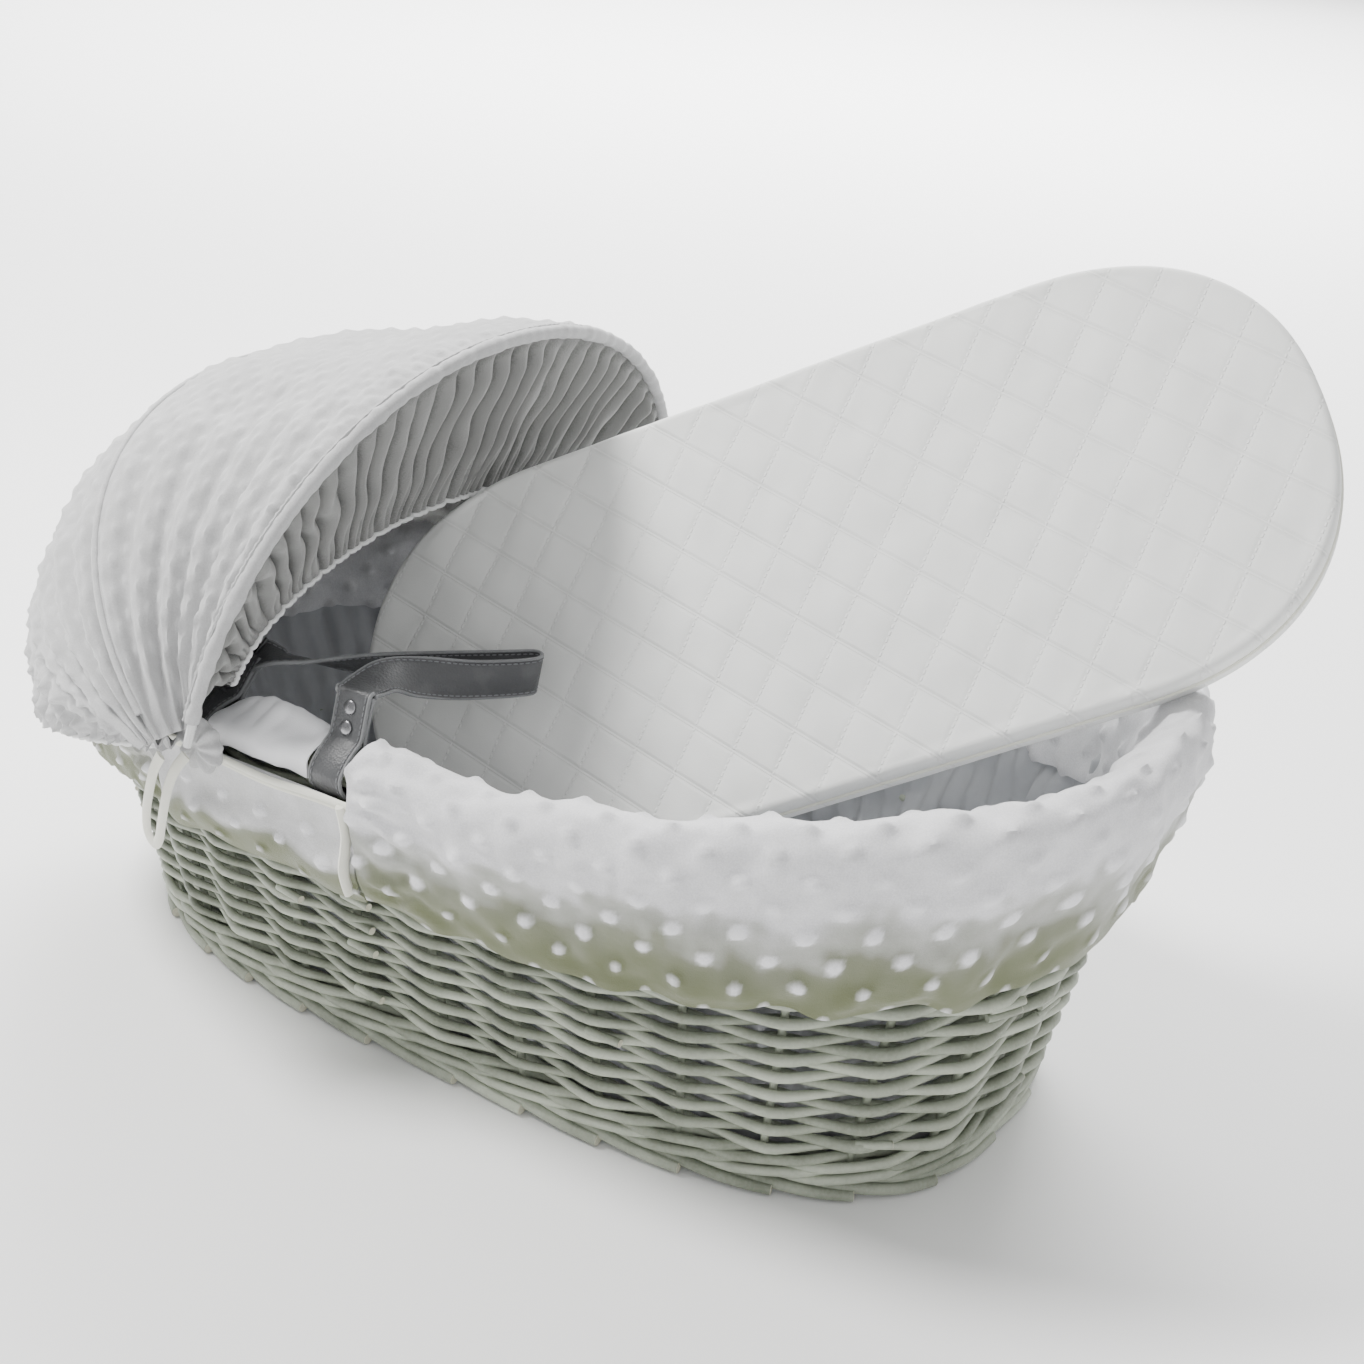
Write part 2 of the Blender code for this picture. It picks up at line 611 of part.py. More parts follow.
def main():
    clear_scene()
    wood = material("board_wood", (0.45, 0.33, 0.20), 0.7)
    willow = material("painted_willow", (0.42, 0.44, 0.39), 0.6)
    plush = material("white_dimple_plush", (0.82, 0.82, 0.82), 0.95)
    cloth = material("lining_cloth", (0.78, 0.78, 0.79), 0.9)
    binding = material("ivory_binding", (0.86, 0.86, 0.80), 0.8)
    cotton = material("quilted_cotton", (0.86, 0.86, 0.83), 0.9)
    foam = material("foam", (0.85, 0.80, 0.62), 1.0)
    leather = material("grey_leather", (0.06, 0.06, 0.065), 0.45)
    metal = material("gunmetal_rivet", (0.35, 0.35, 0.36), 0.3, 1.0)
    spring = material("hood_spring_strip", (0.75, 0.75, 0.75), 0.4)
    elastic = material("elastic", (0.85, 0.85, 0.83), 0.85)
    make_base(wood, willow)
    make_side(willow)
    make_liner(cloth)
    make_cover(plush, binding, cloth)
    make_hood(plush, spring, elastic, binding)
    make_handles(leather, metal)
    make_ties(binding)
    make_mattress(cotton, foam, binding)


main()
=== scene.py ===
"""The looks of the Moses basket: woven willow, dimple plush, gathered hood, straps and quilted mattress.

Everything is in metres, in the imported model's frame: +Z up, +X to the foot end, the hood at -X, the near long
side at -Y. The basket's, hood's, straps' and mattress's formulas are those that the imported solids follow.
"""

import math

import bmesh
import bpy
import numpy as np
from mathutils import Matrix, Vector


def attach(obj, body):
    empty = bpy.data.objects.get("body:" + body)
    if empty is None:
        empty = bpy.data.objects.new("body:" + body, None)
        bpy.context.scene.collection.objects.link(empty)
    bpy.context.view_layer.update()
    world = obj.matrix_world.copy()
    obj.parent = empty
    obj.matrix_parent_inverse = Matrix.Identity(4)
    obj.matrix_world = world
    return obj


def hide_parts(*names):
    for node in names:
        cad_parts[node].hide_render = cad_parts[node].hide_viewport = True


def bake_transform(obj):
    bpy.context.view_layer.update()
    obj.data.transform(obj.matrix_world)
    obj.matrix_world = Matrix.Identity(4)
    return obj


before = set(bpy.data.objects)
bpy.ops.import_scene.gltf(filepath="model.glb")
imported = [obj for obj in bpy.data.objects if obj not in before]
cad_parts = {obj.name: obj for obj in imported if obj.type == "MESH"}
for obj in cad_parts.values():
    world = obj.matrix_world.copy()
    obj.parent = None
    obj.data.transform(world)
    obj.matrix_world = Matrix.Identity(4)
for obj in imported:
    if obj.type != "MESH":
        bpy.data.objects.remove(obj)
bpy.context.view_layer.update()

Z_AXIS = np.array((0.0, 0.0, 1.0))
TURN = 2 * math.pi

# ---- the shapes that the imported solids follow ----

BASE_HALF, BASE_POWER = (0.343, 0.170), 3.0
RIM_HALF, RIM_POWER = (0.420, 0.216), 2.43
RIM_HEIGHT, FOOT_RISE, HEAD_RISE = 0.242, 0.055, -0.035
FLARE_POWER = 1.15
BORDER_DROP = 0.0115  # from the rim to the middle of the rope border
OPENING_X = (-0.205, -0.012)
LINING_X = (-0.142, -0.062)

HOOD_PIVOT, HOOD_POWER = (-0.131, 0.237), 2.1
HOOD_KNOTS = (
    (75.6, 0.242, 0.257), (106, 0.222, 0.254), (136, 0.256, 0.276), (167, 0.290, 0.280), (197, 0.350, 0.250),
)
BOW_ANGLE, SEAM_ANGLE, HEM_ANGLE = 75.6, 136, 197
VALANCE_INNER, VALANCE_SET_BACK = (0.105, 0.226), 0.022
CORNER_AT = (0.2455, -0.003)

STRAP_WIDTH, STRAP_THICK = 0.028, 0.003
LOOP_RADIUS, DOUBLED = 0.0140, 0.052
RIVETS_AT = (0.0295, 0.0430)
LEG_X = (-0.165, -0.040)
NEAR_STRAP = (
    ((-0.158, -0.190, 0.243), (1.0, 0.0, 0.0)),
    ((-0.138, -0.168, 0.268), (0.9, -0.4, 0.1)),
    ((-0.121, -0.154, 0.266), (0.8, -0.5, 0.35)),
    ((-0.093, -0.131, 0.264), (0.5, -0.4, 0.8)),
    ((-0.055, -0.105, 0.264), (0.2, -0.2, 1.0)),
    ((-0.021, -0.082, 0.265), (0.0, 0.0, 1.0)),
    ((-0.001, -0.067, 0.266), (0.1, 0.1, 1.0)),
    ((0.007, -0.075, 0.266), (0.1, 0.1, 1.0)),
    ((-0.003, -0.091, 0.266), (0.0, 0.0, 1.0)),
    ((-0.023, -0.114, 0.267), (-0.1, 0.1, 1.0)),
    ((-0.039, -0.140, 0.273), (-0.45, 0.2, 0.85)),
    ((-0.046, -0.162, 0.279), (-0.8, 0.2, 0.5)),
    ((-0.047, -0.181, 0.278), (-0.95, 0.0, 0.25)),
    ((-0.045, -0.204, 0.258), (-1.0, 0.0, 0.0)),
)
FAR_STRAP = (
    ((-0.164, 0.186, 0.243), (1.0, 0.0, 0.0)),
    ((-0.160, 0.160, 0.256), (1.0, 0.0, -0.1)),
    ((-0.155, 0.150, 0.238), (1.0, 0.0, -0.2)),
    ((-0.148, 0.148, 0.206), (0.9, 0.2, -0.2)),
    ((-0.140, 0.148, 0.170), (0.7, 0.5, 0.1)),
    ((-0.124, 0.147, 0.149), (0.4, 0.7, 0.4)),
    ((-0.102, 0.147, 0.141), (0.0, 0.8, 0.6)),
    ((-0.080, 0.148, 0.149), (-0.4, 0.7, 0.4)),
    ((-0.064, 0.150, 0.170), (-0.7, 0.5, 0.1)),
    ((-0.056, 0.150, 0.206), (-0.9, 0.2, -0.2)),
    ((-0.048, 0.154, 0.242), (-1.0, 0.0, -0.2)),
    ((-0.043, 0.167, 0.263), (-1.0, 0.0, -0.1)),
    ((-0.042, 0.193, 0.250), (-1.0, 0.0, 0.0)),
)
NEAR_TIE = (
    (-0.134, -0.2560, 0.229), (-0.140, -0.2600, 0.219), (-0.1455, -0.2620, 0.205), (-0.150, -0.2622, 0.190),
    (-0.154, -0.2618, 0.176), (-0.158, -0.2610, 0.163), (-0.164, -0.2600, 0.1565), (-0.170, -0.2600, 0.1635),
    (-0.169, -0.2610, 0.178), (-0.164, -0.2625, 0.194), (-0.158, -0.2640, 0.209), (-0.153, -0.2650, 0.219),
    (-0.146, -0.2660, 0.229),
)

MATTRESS_HALF, MATTRESS_STRAIGHT, MATTRESS_POWER = (0.345, 0.149), 0.179, 2.3
MATTRESS_THICK = 0.035
MATTRESS_TOP_CENTRE = (0.155, 0.038, 0.3465)
MATTRESS_TURN = ((24.6, "Z"), (-25.75, "Y"), (52.3, "X"))


def signed_power(value, power):
    return np.sign(value) * np.abs(value) ** power


def rim_z(x):
    return RIM_HEIGHT + np.where(x > 0, FOOT_RISE, HEAD_RISE) * (x / RIM_HALF[0]) ** 2


def wall_point(angle, level, offset):
    """A point of the wall: level runs from 0 at the base to 1 at the rim, offset is outwards."""
    share = np.maximum(level, 0.0) ** FLARE_POWER
    power = 2 / (BASE_POWER + (RIM_POWER - BASE_POWER) * share)
    half_x, half_y = (BASE_HALF[i] + (RIM_HALF[i] - BASE_HALF[i]) * share + offset for i in (0, 1))
    x = half_x * signed_power(np.cos(angle), power)
    y = half_y * signed_power(np.sin(angle), power)
    return np.stack(np.broadcast_arrays(x, y, level * rim_z(x)), axis=-1)


def rim_point(angle, offset, drop):
    return wall_point(angle, 1 - drop / RIM_HEIGHT, offset)


def wall_at(angle, z, offset):
    """A point of the wall at a height measured from the table."""
    rim = wall_point(angle, 1.0, 0.0)
    point = wall_point(angle, z / rim_z(rim[..., 0]), offset)
    point[..., 2] = z
    return point


def rim_angle(x, side):
    cosine = float(signed_power(x / RIM_HALF[0], RIM_POWER / 2))
    return math.acos(cosine) if side > 0 else TURN - math.acos(cosine)


def lengths_along(path):
    """How far along a path each of its points is."""
    return np.concatenate([[0], np.cumsum(np.linalg.norm(np.diff(path, axis=0), axis=1))])


def even_angles(start, end, count, level=1.0):
    """Angles equally far apart along the wall, and how far along it each one is."""
    dense = np.linspace(start, end, 6000)
    run = lengths_along(wall_point(dense, level, 0.0))
    even = np.linspace(0, run[-1], count)
    return np.interp(even, run, dense), even


def cubic(before, low, high, after, share):
    """Catmull-Rom value between low and high."""
    bend = 2 * before - 5 * low + 4 * high - after + share * (3 * (low - high) + after - before)
    return low + 0.5 * share * (high - before + share * bend)


def spline(points, steps):
    """Catmull-Rom points through the given ones."""
    points = [np.array(p, float) for p in points]
    last = len(points) - 1
    out = []
    for i in range(last):
        four = [points[min(max(i + k, 0), last)] for k in (-1, 0, 1, 2)]
        out += [cubic(*four, j / steps) for j in range(steps)]
    return np.array(out + [points[last]])


def hood_size(angle):
    """(radius, half width) of the arch at this fan angle."""
    last = len(HOOD_KNOTS) - 2
    k = next((i for i in range(last) if angle <= HOOD_KNOTS[i + 1][0]), last)
    four = [np.array(HOOD_KNOTS[min(max(k + i, 0), last + 1)]) for i in (-1, 0, 1, 2)]
    share = (angle - four[1][0]) / (four[2][0] - four[1][0])
    return cubic(*four, share)[1:]


def arch_point(angle, turn, radius, half_width, back=0.0):
    """A point of an arch that leans at the fan angle; turn runs from 0 at the far foot to pi at the near."""
    up = np.sin(turn) ** (2 / HOOD_POWER) * radius
    across = signed_power(np.cos(turn), 2 / HOOD_POWER) * half_width
    lean = np.radians(angle)
    x = HOOD_PIVOT[0] + up * np.cos(lean) - back * np.sin(lean)
    z = HOOD_PIVOT[1] + up * np.sin(lean) + back * np.cos(lean)
    return np.stack(np.broadcast_arrays(x, across, z), axis=-1)


# ---- mesh tools ----


def ripple(seed, x, y, wave):
    """A smooth random height from about -1 to 1 over a plane, with waves about that long."""
    draw = np.random.default_rng(seed)
    total = np.zeros(np.broadcast(x, y).shape)
    for _ in range(7):
        way = draw.uniform(0, TURN)
        scale = TURN / (wave * draw.uniform(0.7, 1.5))
        total = total + np.sin((x * math.cos(way) + y * math.sin(way)) * scale + draw.uniform(0, TURN))
    return total / 3.2


def ramp(value, low, high):
    """0 below low, 1 above high and smooth between."""
    share = np.clip((value - low) / (high - low), 0, 1)
    return share * share * (3 - 2 * share)


def unit(vectors):
    return vectors / np.maximum(np.linalg.norm(vectors, axis=-1, keepdims=True), 1e-12)


def grid_normals(points, outward):
    """Normals of a grid of points, on the side that outward points to at its middle."""
    normals = unit(np.cross(np.gradient(points, axis=0), np.gradient(points, axis=1)))
    middle = normals[points.shape[0] // 2, points.shape[1] // 2]
    return normals if middle @ np.array(outward) > 0 else -normals


class Pile:
    """Points and faces that end up in one mesh."""

    def __init__(self):
        self.points, self.shades, self.faces, self.slots, self.count = [], [], [], [], 0

    def add(self, points, faces, slot=0, shade=0.5):
        """shade is what the material reads at each point, from 0 to 1: a random per-rod colour on the willow,
        lighter edges on the leather, and painted highlight and painted shade on the plush.
        """
        points = np.asarray(points, float)
        self.shades.append(np.broadcast_to(shade, points.shape[:-1]).ravel())
        self.points.append(points.reshape(-1, 3))
        self.faces += [tuple(int(i) + self.count for i in face) for face in faces]
        self.slots += [slot] * len(faces)
        self.count += len(self.points[-1])

    def grid(self, points, ring_along=False, ring_across=False, caps=False, slot=0, shade=0.5):
        """Faces over a grid of points, which may close on itself either way."""
        along, across = points.shape[:2]
        rows = np.arange(along if ring_along else along - 1)
        cols = np.arange(across if ring_across else across - 1)
        i, j = (a.ravel() for a in np.meshgrid(rows, cols, indexing="ij"))
        down, right = (i + 1) % along, (j + 1) % across
        corners = (i * across + j, i * across + right, down * across + right, down * across + j)
        faces = list(zip(*(c.tolist() for c in corners)))
        if caps:
            last = (along - 1) * across
            faces += [tuple(range(across)), tuple(range(last, last + across))]
        self.add(points, faces, slot, shade)

    def tube(self, path, radius, sides=8, ring=False, hint=Z_AXIS, flat=1.0, slot=0, shade=0.5):
        """A round or flattened bar along a path; hint is about the way its flattened side faces."""
        path = np.asarray(path, float)
        if ring:
            tangent = unit(np.roll(path, -1, 0) - np.roll(path, 1, 0))
        else:
            tangent = unit(np.gradient(path, axis=0))
        across = unit(np.cross(tangent, hint))
        up = np.cross(across, tangent)
        radius = np.broadcast_to(radius, (len(path),))[:, None, None]
        spoke = np.linspace(0, TURN, sides, endpoint=False)[None, :, None]
        rings = np.cos(spoke) * across[:, None] + flat * np.sin(spoke) * up[:, None]
        shade = np.broadcast_to(shade, (len(path),))[:, None]
        self.grid(path[:, None] + radius * rings, ring, True, not ring, slot, shade)

    def piece(self, name, finishes, body="root", slot=None, stands_for=(), sharp=50, skirt=None):
        """Makes the mesh a piece that rides on a body; skirt is each point's share of the painted green
        reflection and painted shade on the skirt.
        """
        mesh = bpy.data.meshes.new(name)
        mesh.from_pydata(np.concatenate(self.points).tolist(), [], self.faces)
        mesh.polygons.foreach_set("material_index", self.slots)
        mesh.attributes.new("shade", "FLOAT", "POINT").data.foreach_set("value", np.concatenate(self.shades))
        if skirt is not None:
            mesh.attributes.new("skirt", "FLOAT", "POINT").data.foreach_set("value", np.ravel(skirt))
        outward(mesh)
        mesh.shade_smooth()
        mesh.set_sharp_from_angle(angle=math.radians(sharp))
        for finish in finishes:
            mesh.materials.append(finish)
        made = bpy.data.objects.new(name, mesh)
        bpy.context.scene.collection.objects.link(made)
        if body:
            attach(made, body)
        if stands_for:
            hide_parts(*stands_for)
        return made


def outward(mesh):
    """Turns every closed body's faces outwards."""
    shell = bmesh.new()
    shell.from_mesh(mesh)
    bmesh.ops.recalc_face_normals(shell, faces=shell.faces)
    shell.to_mesh(mesh)
    shell.free()


def border_of(rows, cols):
    """The (row, column) of each point round the edge of a grid, in order."""
    edge = [(i, 0) for i in range(rows)] + [(rows - 1, j) for j in range(1, cols)]
    return edge + [(i, cols - 1) for i in range(rows - 2, -1, -1)] + [(0, j) for j in range(cols - 2, 0, -1)]


def cloth_shell(pile, outer, thick, outward_way, shade=0.5):
    """A sheet of cloth with two faces and closed edges: outer is its outside."""
    inner = outer - grid_normals(outer, outward_way) * thick
    rows, cols = outer.shape[:2]
    count = rows * cols
    start = pile.count
    pile.grid(outer, shade=shade)
    pile.grid(inner, shade=shade)
    loop = [start + i * cols + j for i, j in border_of(rows, cols)]
    for a, b in zip(loop, loop[1:] + loop[:1]):
        pile.faces.append((a, b, b + count, a + count))
        pile.slots.append(0)


DOT_PITCH, DOT_ROWS = 0.040, 0.0165  # spacing of the plush's raised dots along a row, and between rows


def dots(along, across, half=(0.0072, 0.0056)):
    """Height from 0 to 1 of the plush's raised dots, which stand in staggered rows."""
    row = np.round(across / DOT_ROWS)
    shift = (row % 2) * DOT_PITCH / 2
    off_along = (along - shift) - np.round((along - shift) / DOT_PITCH) * DOT_PITCH
    off_across = across - row * DOT_ROWS
    far = (off_along / half[0]) ** 2 + (off_across / half[1]) ** 2
    return np.clip(1 - far, 0, 1) ** 1.3


# ---- materials ----


class Finish:
    """A procedural material whose patterns are in each piece's own coordinates."""

    def __init__(self, name, roughness, constants=()):
        self.material = bpy.data.materials.new(name)
        self.material.use_nodes = True
        self.tree = self.material.node_tree
        self.shader = self.tree.nodes["Principled BSDF"]
        self.place = self.node("TexCoord").outputs["Object"]
        for key, value in (("Roughness", roughness), *constants):
            self.join(value, self.shader.inputs[key])

    def node(self, kind, inputs=(), **settings):
        made = self.tree.nodes.new("ShaderNode" + kind)
        for key, value in settings.items():
            setattr(made, key, value)
        for key, value in inputs:
            self.join(value, made.inputs[key])
        return made

    def join(self, value, socket):
        if isinstance(value, bpy.types.NodeSocket):
            self.tree.links.new(value, socket)
        elif socket.type == "RGBA":
            socket.default_value = (*value, 1)
        else:
            socket.default_value = value

    def noise(self, scale, detail=2.0, stretch=(1, 1, 1)):
        where = self.node("Mapping", (("Vector", self.place), ("Scale", stretch))).outputs[0]
        return self.node("TexNoise", (("Vector", where), ("Scale", scale), ("Detail", detail))).outputs["Fac"]

    def shade(self):
        return self.node("Attribute", attribute_name="shade").outputs["Fac"]

    def calc(self, operation, *values):
        return self.node("Math", enumerate(values), operation=operation).outputs[0]

    def sum(self, *parts):
        """Adds up (value, weight) pairs."""
        total = 0.0
        for value, weight in parts:
            total = self.calc("MULTIPLY_ADD", value, weight, total)
        return total

    def spread(self, value, low, high):
        """0 below low, 1 above high."""
        sockets = (("Value", value), ("From Min", low), ("From Max", high))
        return self.node("MapRange", sockets).outputs[0]

    def mix(self, share, low, high):
        return self.node("Mix", ((0, share), (6, low), (7, high)), data_type="RGBA").outputs[2]

    def colour(self, socket):
        self.join(socket, self.shader.inputs["Base Color"])

    def bump(self, height, distance, strength=1.0):
        made = self.node("Bump", (("Height", height), ("Distance", distance), ("Strength", strength)))
        self.join(made.outputs[0], self.shader.inputs["Normal"])


def willow_finish():
    made = Finish("grey willow with painted green reflection", 0.5, (("Specular IOR Level", 0.4),))
    grain = made.sum((made.shade(), 1.0), (made.noise(35, 3), 0.9), (made.noise(420, 2), 0.35), (1.0, -0.62))
    # Grey paint with a painted green reflection in both colours; the rods vary at random between them.
    made.colour(made.mix(made.spread(grain, 0.1, 0.95), (0.19, 0.21, 0.16), (0.47, 0.505, 0.415)))
    made.join(made.sum((made.noise(60, 2), 0.35), (1.0, 0.30)), made.shader.inputs["Roughness"])
    made.bump(made.sum((made.noise(180, 3), 0.7), (made.noise(900, 2), 0.3)), 0.0012, 0.5)
    return made.material


def cut_finish():
    made = Finish("cut willow", 0.7)
    made.colour(made.mix(made.noise(500, 2), (0.50, 0.49, 0.38), (0.68, 0.67, 0.56)))
    return made.material


def plush_finish(name, base, valley_shade, reflection_colour=None):
    """Short-piled plush, darker in its valleys as painted shade and lighter on raised parts as painted
    highlight; a painted green reflection and shade shows on the skirt but not on its raised dots.
    """
    made = Finish(name, 0.9, (("Sheen Weight", 0.5), ("Sheen Roughness", 0.5), ("Specular IOR Level", 0.15)))
    # pale is a painted highlight on raised parts and deep a painted shade in the valleys.
    pale = tuple(min(1.0, c * 1.07) for c in base)
    deep = tuple(c * valley_shade for c in base)
    # The shade each point carries moves it between painted shade and painted highlight, mixed with random
    # mottling of the pile.
    nap_and_painted_shade = made.sum((made.noise(900, 3), 0.45), (made.noise(60, 3), 0.35), (made.shade(), 0.45), (1.0, -0.13))
    cloth = made.mix(made.spread(nap_and_painted_shade, 0.3, 0.7), deep, pale)
    if reflection_colour:
        # Painted green reflection and painted shade on the skirt, strongest at the hem and kept off the raised
        # dots.
        skirt = made.node("Attribute", attribute_name="skirt").outputs["Fac"]
        pale_reflection_colour = tuple(0.5 * a + 0.5 * b for a, b in zip(reflection_colour, PAINTED_SKIRT_SHADE))
        share = made.sum((skirt, 1.0), (made.noise(40, 3), 0.4), (1.0, 0.52), (made.shade(), -1.5))
        amount = made.calc("MULTIPLY", made.spread(share, 0.15, 0.75), made.spread(skirt, 0.0, 0.35))
        cloth = made.mix(amount, cloth, made.mix(made.spread(skirt, 0.45, 1.0), pale_reflection_colour, reflection_colour))
    made.colour(cloth)
    made.bump(made.sum((made.noise(1400, 2), 0.6), (made.noise(260, 3), 0.4)), 0.0011, 0.55)
    return made.material


def cloth_finish(name, base, thread=1500, rough=0.85):
    made = Finish(name, rough, (("Sheen Weight", 0.2), ("Specular IOR Level", 0.2)))
    deep = tuple(c * 0.93 for c in base)
    made.colour(made.mix(made.noise(90, 3), deep, base))
    made.bump(made.noise(thread, 1), 0.0004, 0.5)
    return made.material


def leather_finish():
    made = Finish("dark grey leather", 0.5, (("Specular IOR Level", 0.45),))
    pore_cells = made.node("TexVoronoi", (("Vector", made.place), ("Scale", 620.0)), feature="F1")
    pores = pore_cells.outputs["Distance"]
    # Lighter along the strap's edges, mixed with random mottling.
    lighter_edges = made.sum((made.shade(), 1.0), (made.noise(70, 3), 0.5), (1.0, -0.25))
    made.colour(made.mix(made.spread(lighter_edges, 0.35, 1.0), (0.075, 0.077, 0.080), (0.20, 0.205, 0.21)))
    made.join(made.sum((made.noise(140, 2), 0.25), (1.0, 0.33)), made.shader.inputs["Roughness"])
    made.bump(made.sum((pores, 0.8), (made.noise(90, 3), 0.5)), 0.0006, 0.5)
    return made.material


def metal_finish():
    made = Finish("gunmetal", 0.3, (("Metallic", 1.0),))
    made.colour(made.mix(made.noise(300, 2), (0.20, 0.20, 0.21), (0.36, 0.36, 0.37)))
    made.join(made.sum((made.noise(500, 2), 0.25), (1.0, 0.18)), made.shader.inputs["Roughness"])
    return made.material


def wood_finish():
    made = Finish("plywood", 0.7)
    streaks = made.noise(14, 4, (1, 12, 1))
    made.colour(made.mix(streaks, (0.33, 0.23, 0.13), (0.55, 0.42, 0.27)))
    made.bump(streaks, 0.0006, 0.4)
    return made.material


# Painted green reflection and painted shade on the skirt: the reflection at its hem, half of each mixed in
# higher up.
PAINTED_GREEN_REFLECTION, PAINTED_SKIRT_SHADE = (0.150, 0.166, 0.088), (0.33, 0.335, 0.31)  # the skirt at its hem, and mixed in higher up
WILLOW = willow_finish()
CUT_WILLOW = cut_finish()
COVER_PLUSH = plush_finish("white dimple plush", (0.78, 0.78, 0.80), 0.74, PAINTED_GREEN_REFLECTION)
# The cover's white plush made darker as painted shade, for the whole hood.
HOOD_PLUSH = plush_finish("hood plush with painted shade", (0.52, 0.522, 0.525), 0.78)
# The hood's plush made darker as painted shade, for the valance that hangs in the hood's shade.
VALANCE_PLUSH = plush_finish("valance plush with painted shade", (0.235, 0.237, 0.230), 0.45)
BINDING = cloth_finish("ivory binding", (0.80, 0.80, 0.71))
LINING = cloth_finish("white lining", (0.86, 0.865, 0.885))
# The cover's dimple plush made darker as painted shade, inside the basket.
LINER = cloth_finish("dimple cloth liner with painted shade", (0.46, 0.47, 0.49))
STRAP_THREAD = cloth_finish("strap thread", (0.20, 0.205, 0.215), 2500, 0.6)
ELASTIC = cloth_finish("elastic", (0.74, 0.745, 0.74), 1800)
LEATHER = leather_finish()
METAL = metal_finish()
WOOD = wood_finish()


def dress(node, material):
    """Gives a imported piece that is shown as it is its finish."""
    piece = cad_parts[node]
    piece.material_slots[0].link = "OBJECT"
    piece.material_slots[0].material = material


# ---- the woven basket ----

STAKES = 30
STAKE_PHASE = 0.7  # how far the first stake stands past the foot tip, in stakes
STAKE_STEPS = 8  # samples from one stake to the next
STAKE_RADIUS = 0.0028
WEAVE_REACH = 0.0072  # how far a rod's middle line passes outside a stake's
ROWS = 27
WALL_FOOT = 0.0352
ROW_TOP_DROP = 0.031  # below the rim, where the last whole row stands
STRAP_CLEAR = 0.021  # left free of rods each side of a strap's leg
# place in stakes, offset and height of a foot rod from where it starts behind its neighbour to its cut end
FOOT_ROD = ((-0.95, -0.0040, 0.0125), (-0.3, 0.0020, 0.0105), (0.5, 0.0068, 0.0066), (1.06, 0.0084, 0.0050))
WALL_ANGLES = even_angles(0, TURN, 3000, 0.5)[0]


def stake_angle(place):
    """The angle round the wall of a place counted in stakes."""
    turns = (np.asarray(place, float) + STAKE_PHASE) / STAKES
    whole = np.floor(turns)
    even = np.linspace(0, 1, len(WALL_ANGLES))
    return np.interp(turns - whole, even, WALL_ANGLES) + TURN * whole


def weave_wave(place, corner=0.13):
    """1 at even stakes, -1 at odd ones, straight between and rounded over each stake."""
    nearest = np.round(place)
    away = np.abs(place - nearest)
    bent = np.where(away > corner, 1 - 2 * away, 1 - corner - away**2 / corner)
    return bent / (1 - corner) * np.where(nearest % 2 == 0, 1, -1)


def rod_shades(seed, places, length=9.0):
    """The tint of the rods along a row: a new rod every few stakes."""
    draw = np.random.default_rng(seed)
    start = draw.uniform(0, length)
    count = int((places[-1] - places[0]) / length) + 3
    tones = draw.uniform(0.25, 0.85, count)
    return tones[((places - places[0] + start) / length).astype(int)]


def weave_rows():
    pile = Pile()
    places = np.arange(STAKES * STAKE_STEPS) / STAKE_STEPS
    angles = stake_angle(places)
    rim = rim_z(wall_point(angles, 1.0, 0.0)[:, 0])
    low = WALL_FOOT + 0.0030
    pitch = (rim * (1 - ROW_TOP_DROP / RIM_HEIGHT) - low) / (ROWS - 1)
    legs = np.array(LEG_X)
    for row in range(ROWS + 2):
        draw = np.random.default_rng(100 + row)
        wave = weave_wave(places + row % 2)
        wander = 0.10 * np.sin(TURN * (places / STAKES * draw.integers(2, 6) + draw.uniform()))
        heights = low + pitch * (row + wander)
        path = wall_at(angles, heights, WEAVE_REACH * wave)
        taper = 1 + 0.07 * np.sin(TURN * (places / STAKES * draw.integers(2, 5) + draw.uniform()))
        radius = pitch * (0.41 + 0.11 * np.abs(wave)) * taper
        shades = rod_shades(row, places)
        if row < ROWS:
            pile.tube(path, radius, ring=True, shade=shades)
            continue
        clear = np.abs(path[:, 0, None] - legs).min(axis=1) > STRAP_CLEAR
        starts = [i for i in range(len(clear)) if clear[i] and not clear[i - 1]]
        for start in starts:
            run = start
            while clear[run % len(clear)]:
                run += 1
            span = np.arange(start, run) % len(clear)
            if len(span) > 3:
                pile.tube(path[span], radius[span], shade=shades[span])
    stakes = stake_angle(np.arange(STAKES))
    levels = np.linspace(0.05, 0.86, 18)
    for number, angle in enumerate(stakes):
        shade = 0.3 + 0.4 * (number % 3) / 2
        pile.tube(wall_point(angle, levels, 0.0), STAKE_RADIUS, hint=(1, 0, 0), shade=shade)
    weave_butts(pile, stakes, low, pitch)
    pile.piece("weave_side", [WILLOW, CUT_WILLOW], slot="painted_willow", stands_for=["woven_side"])


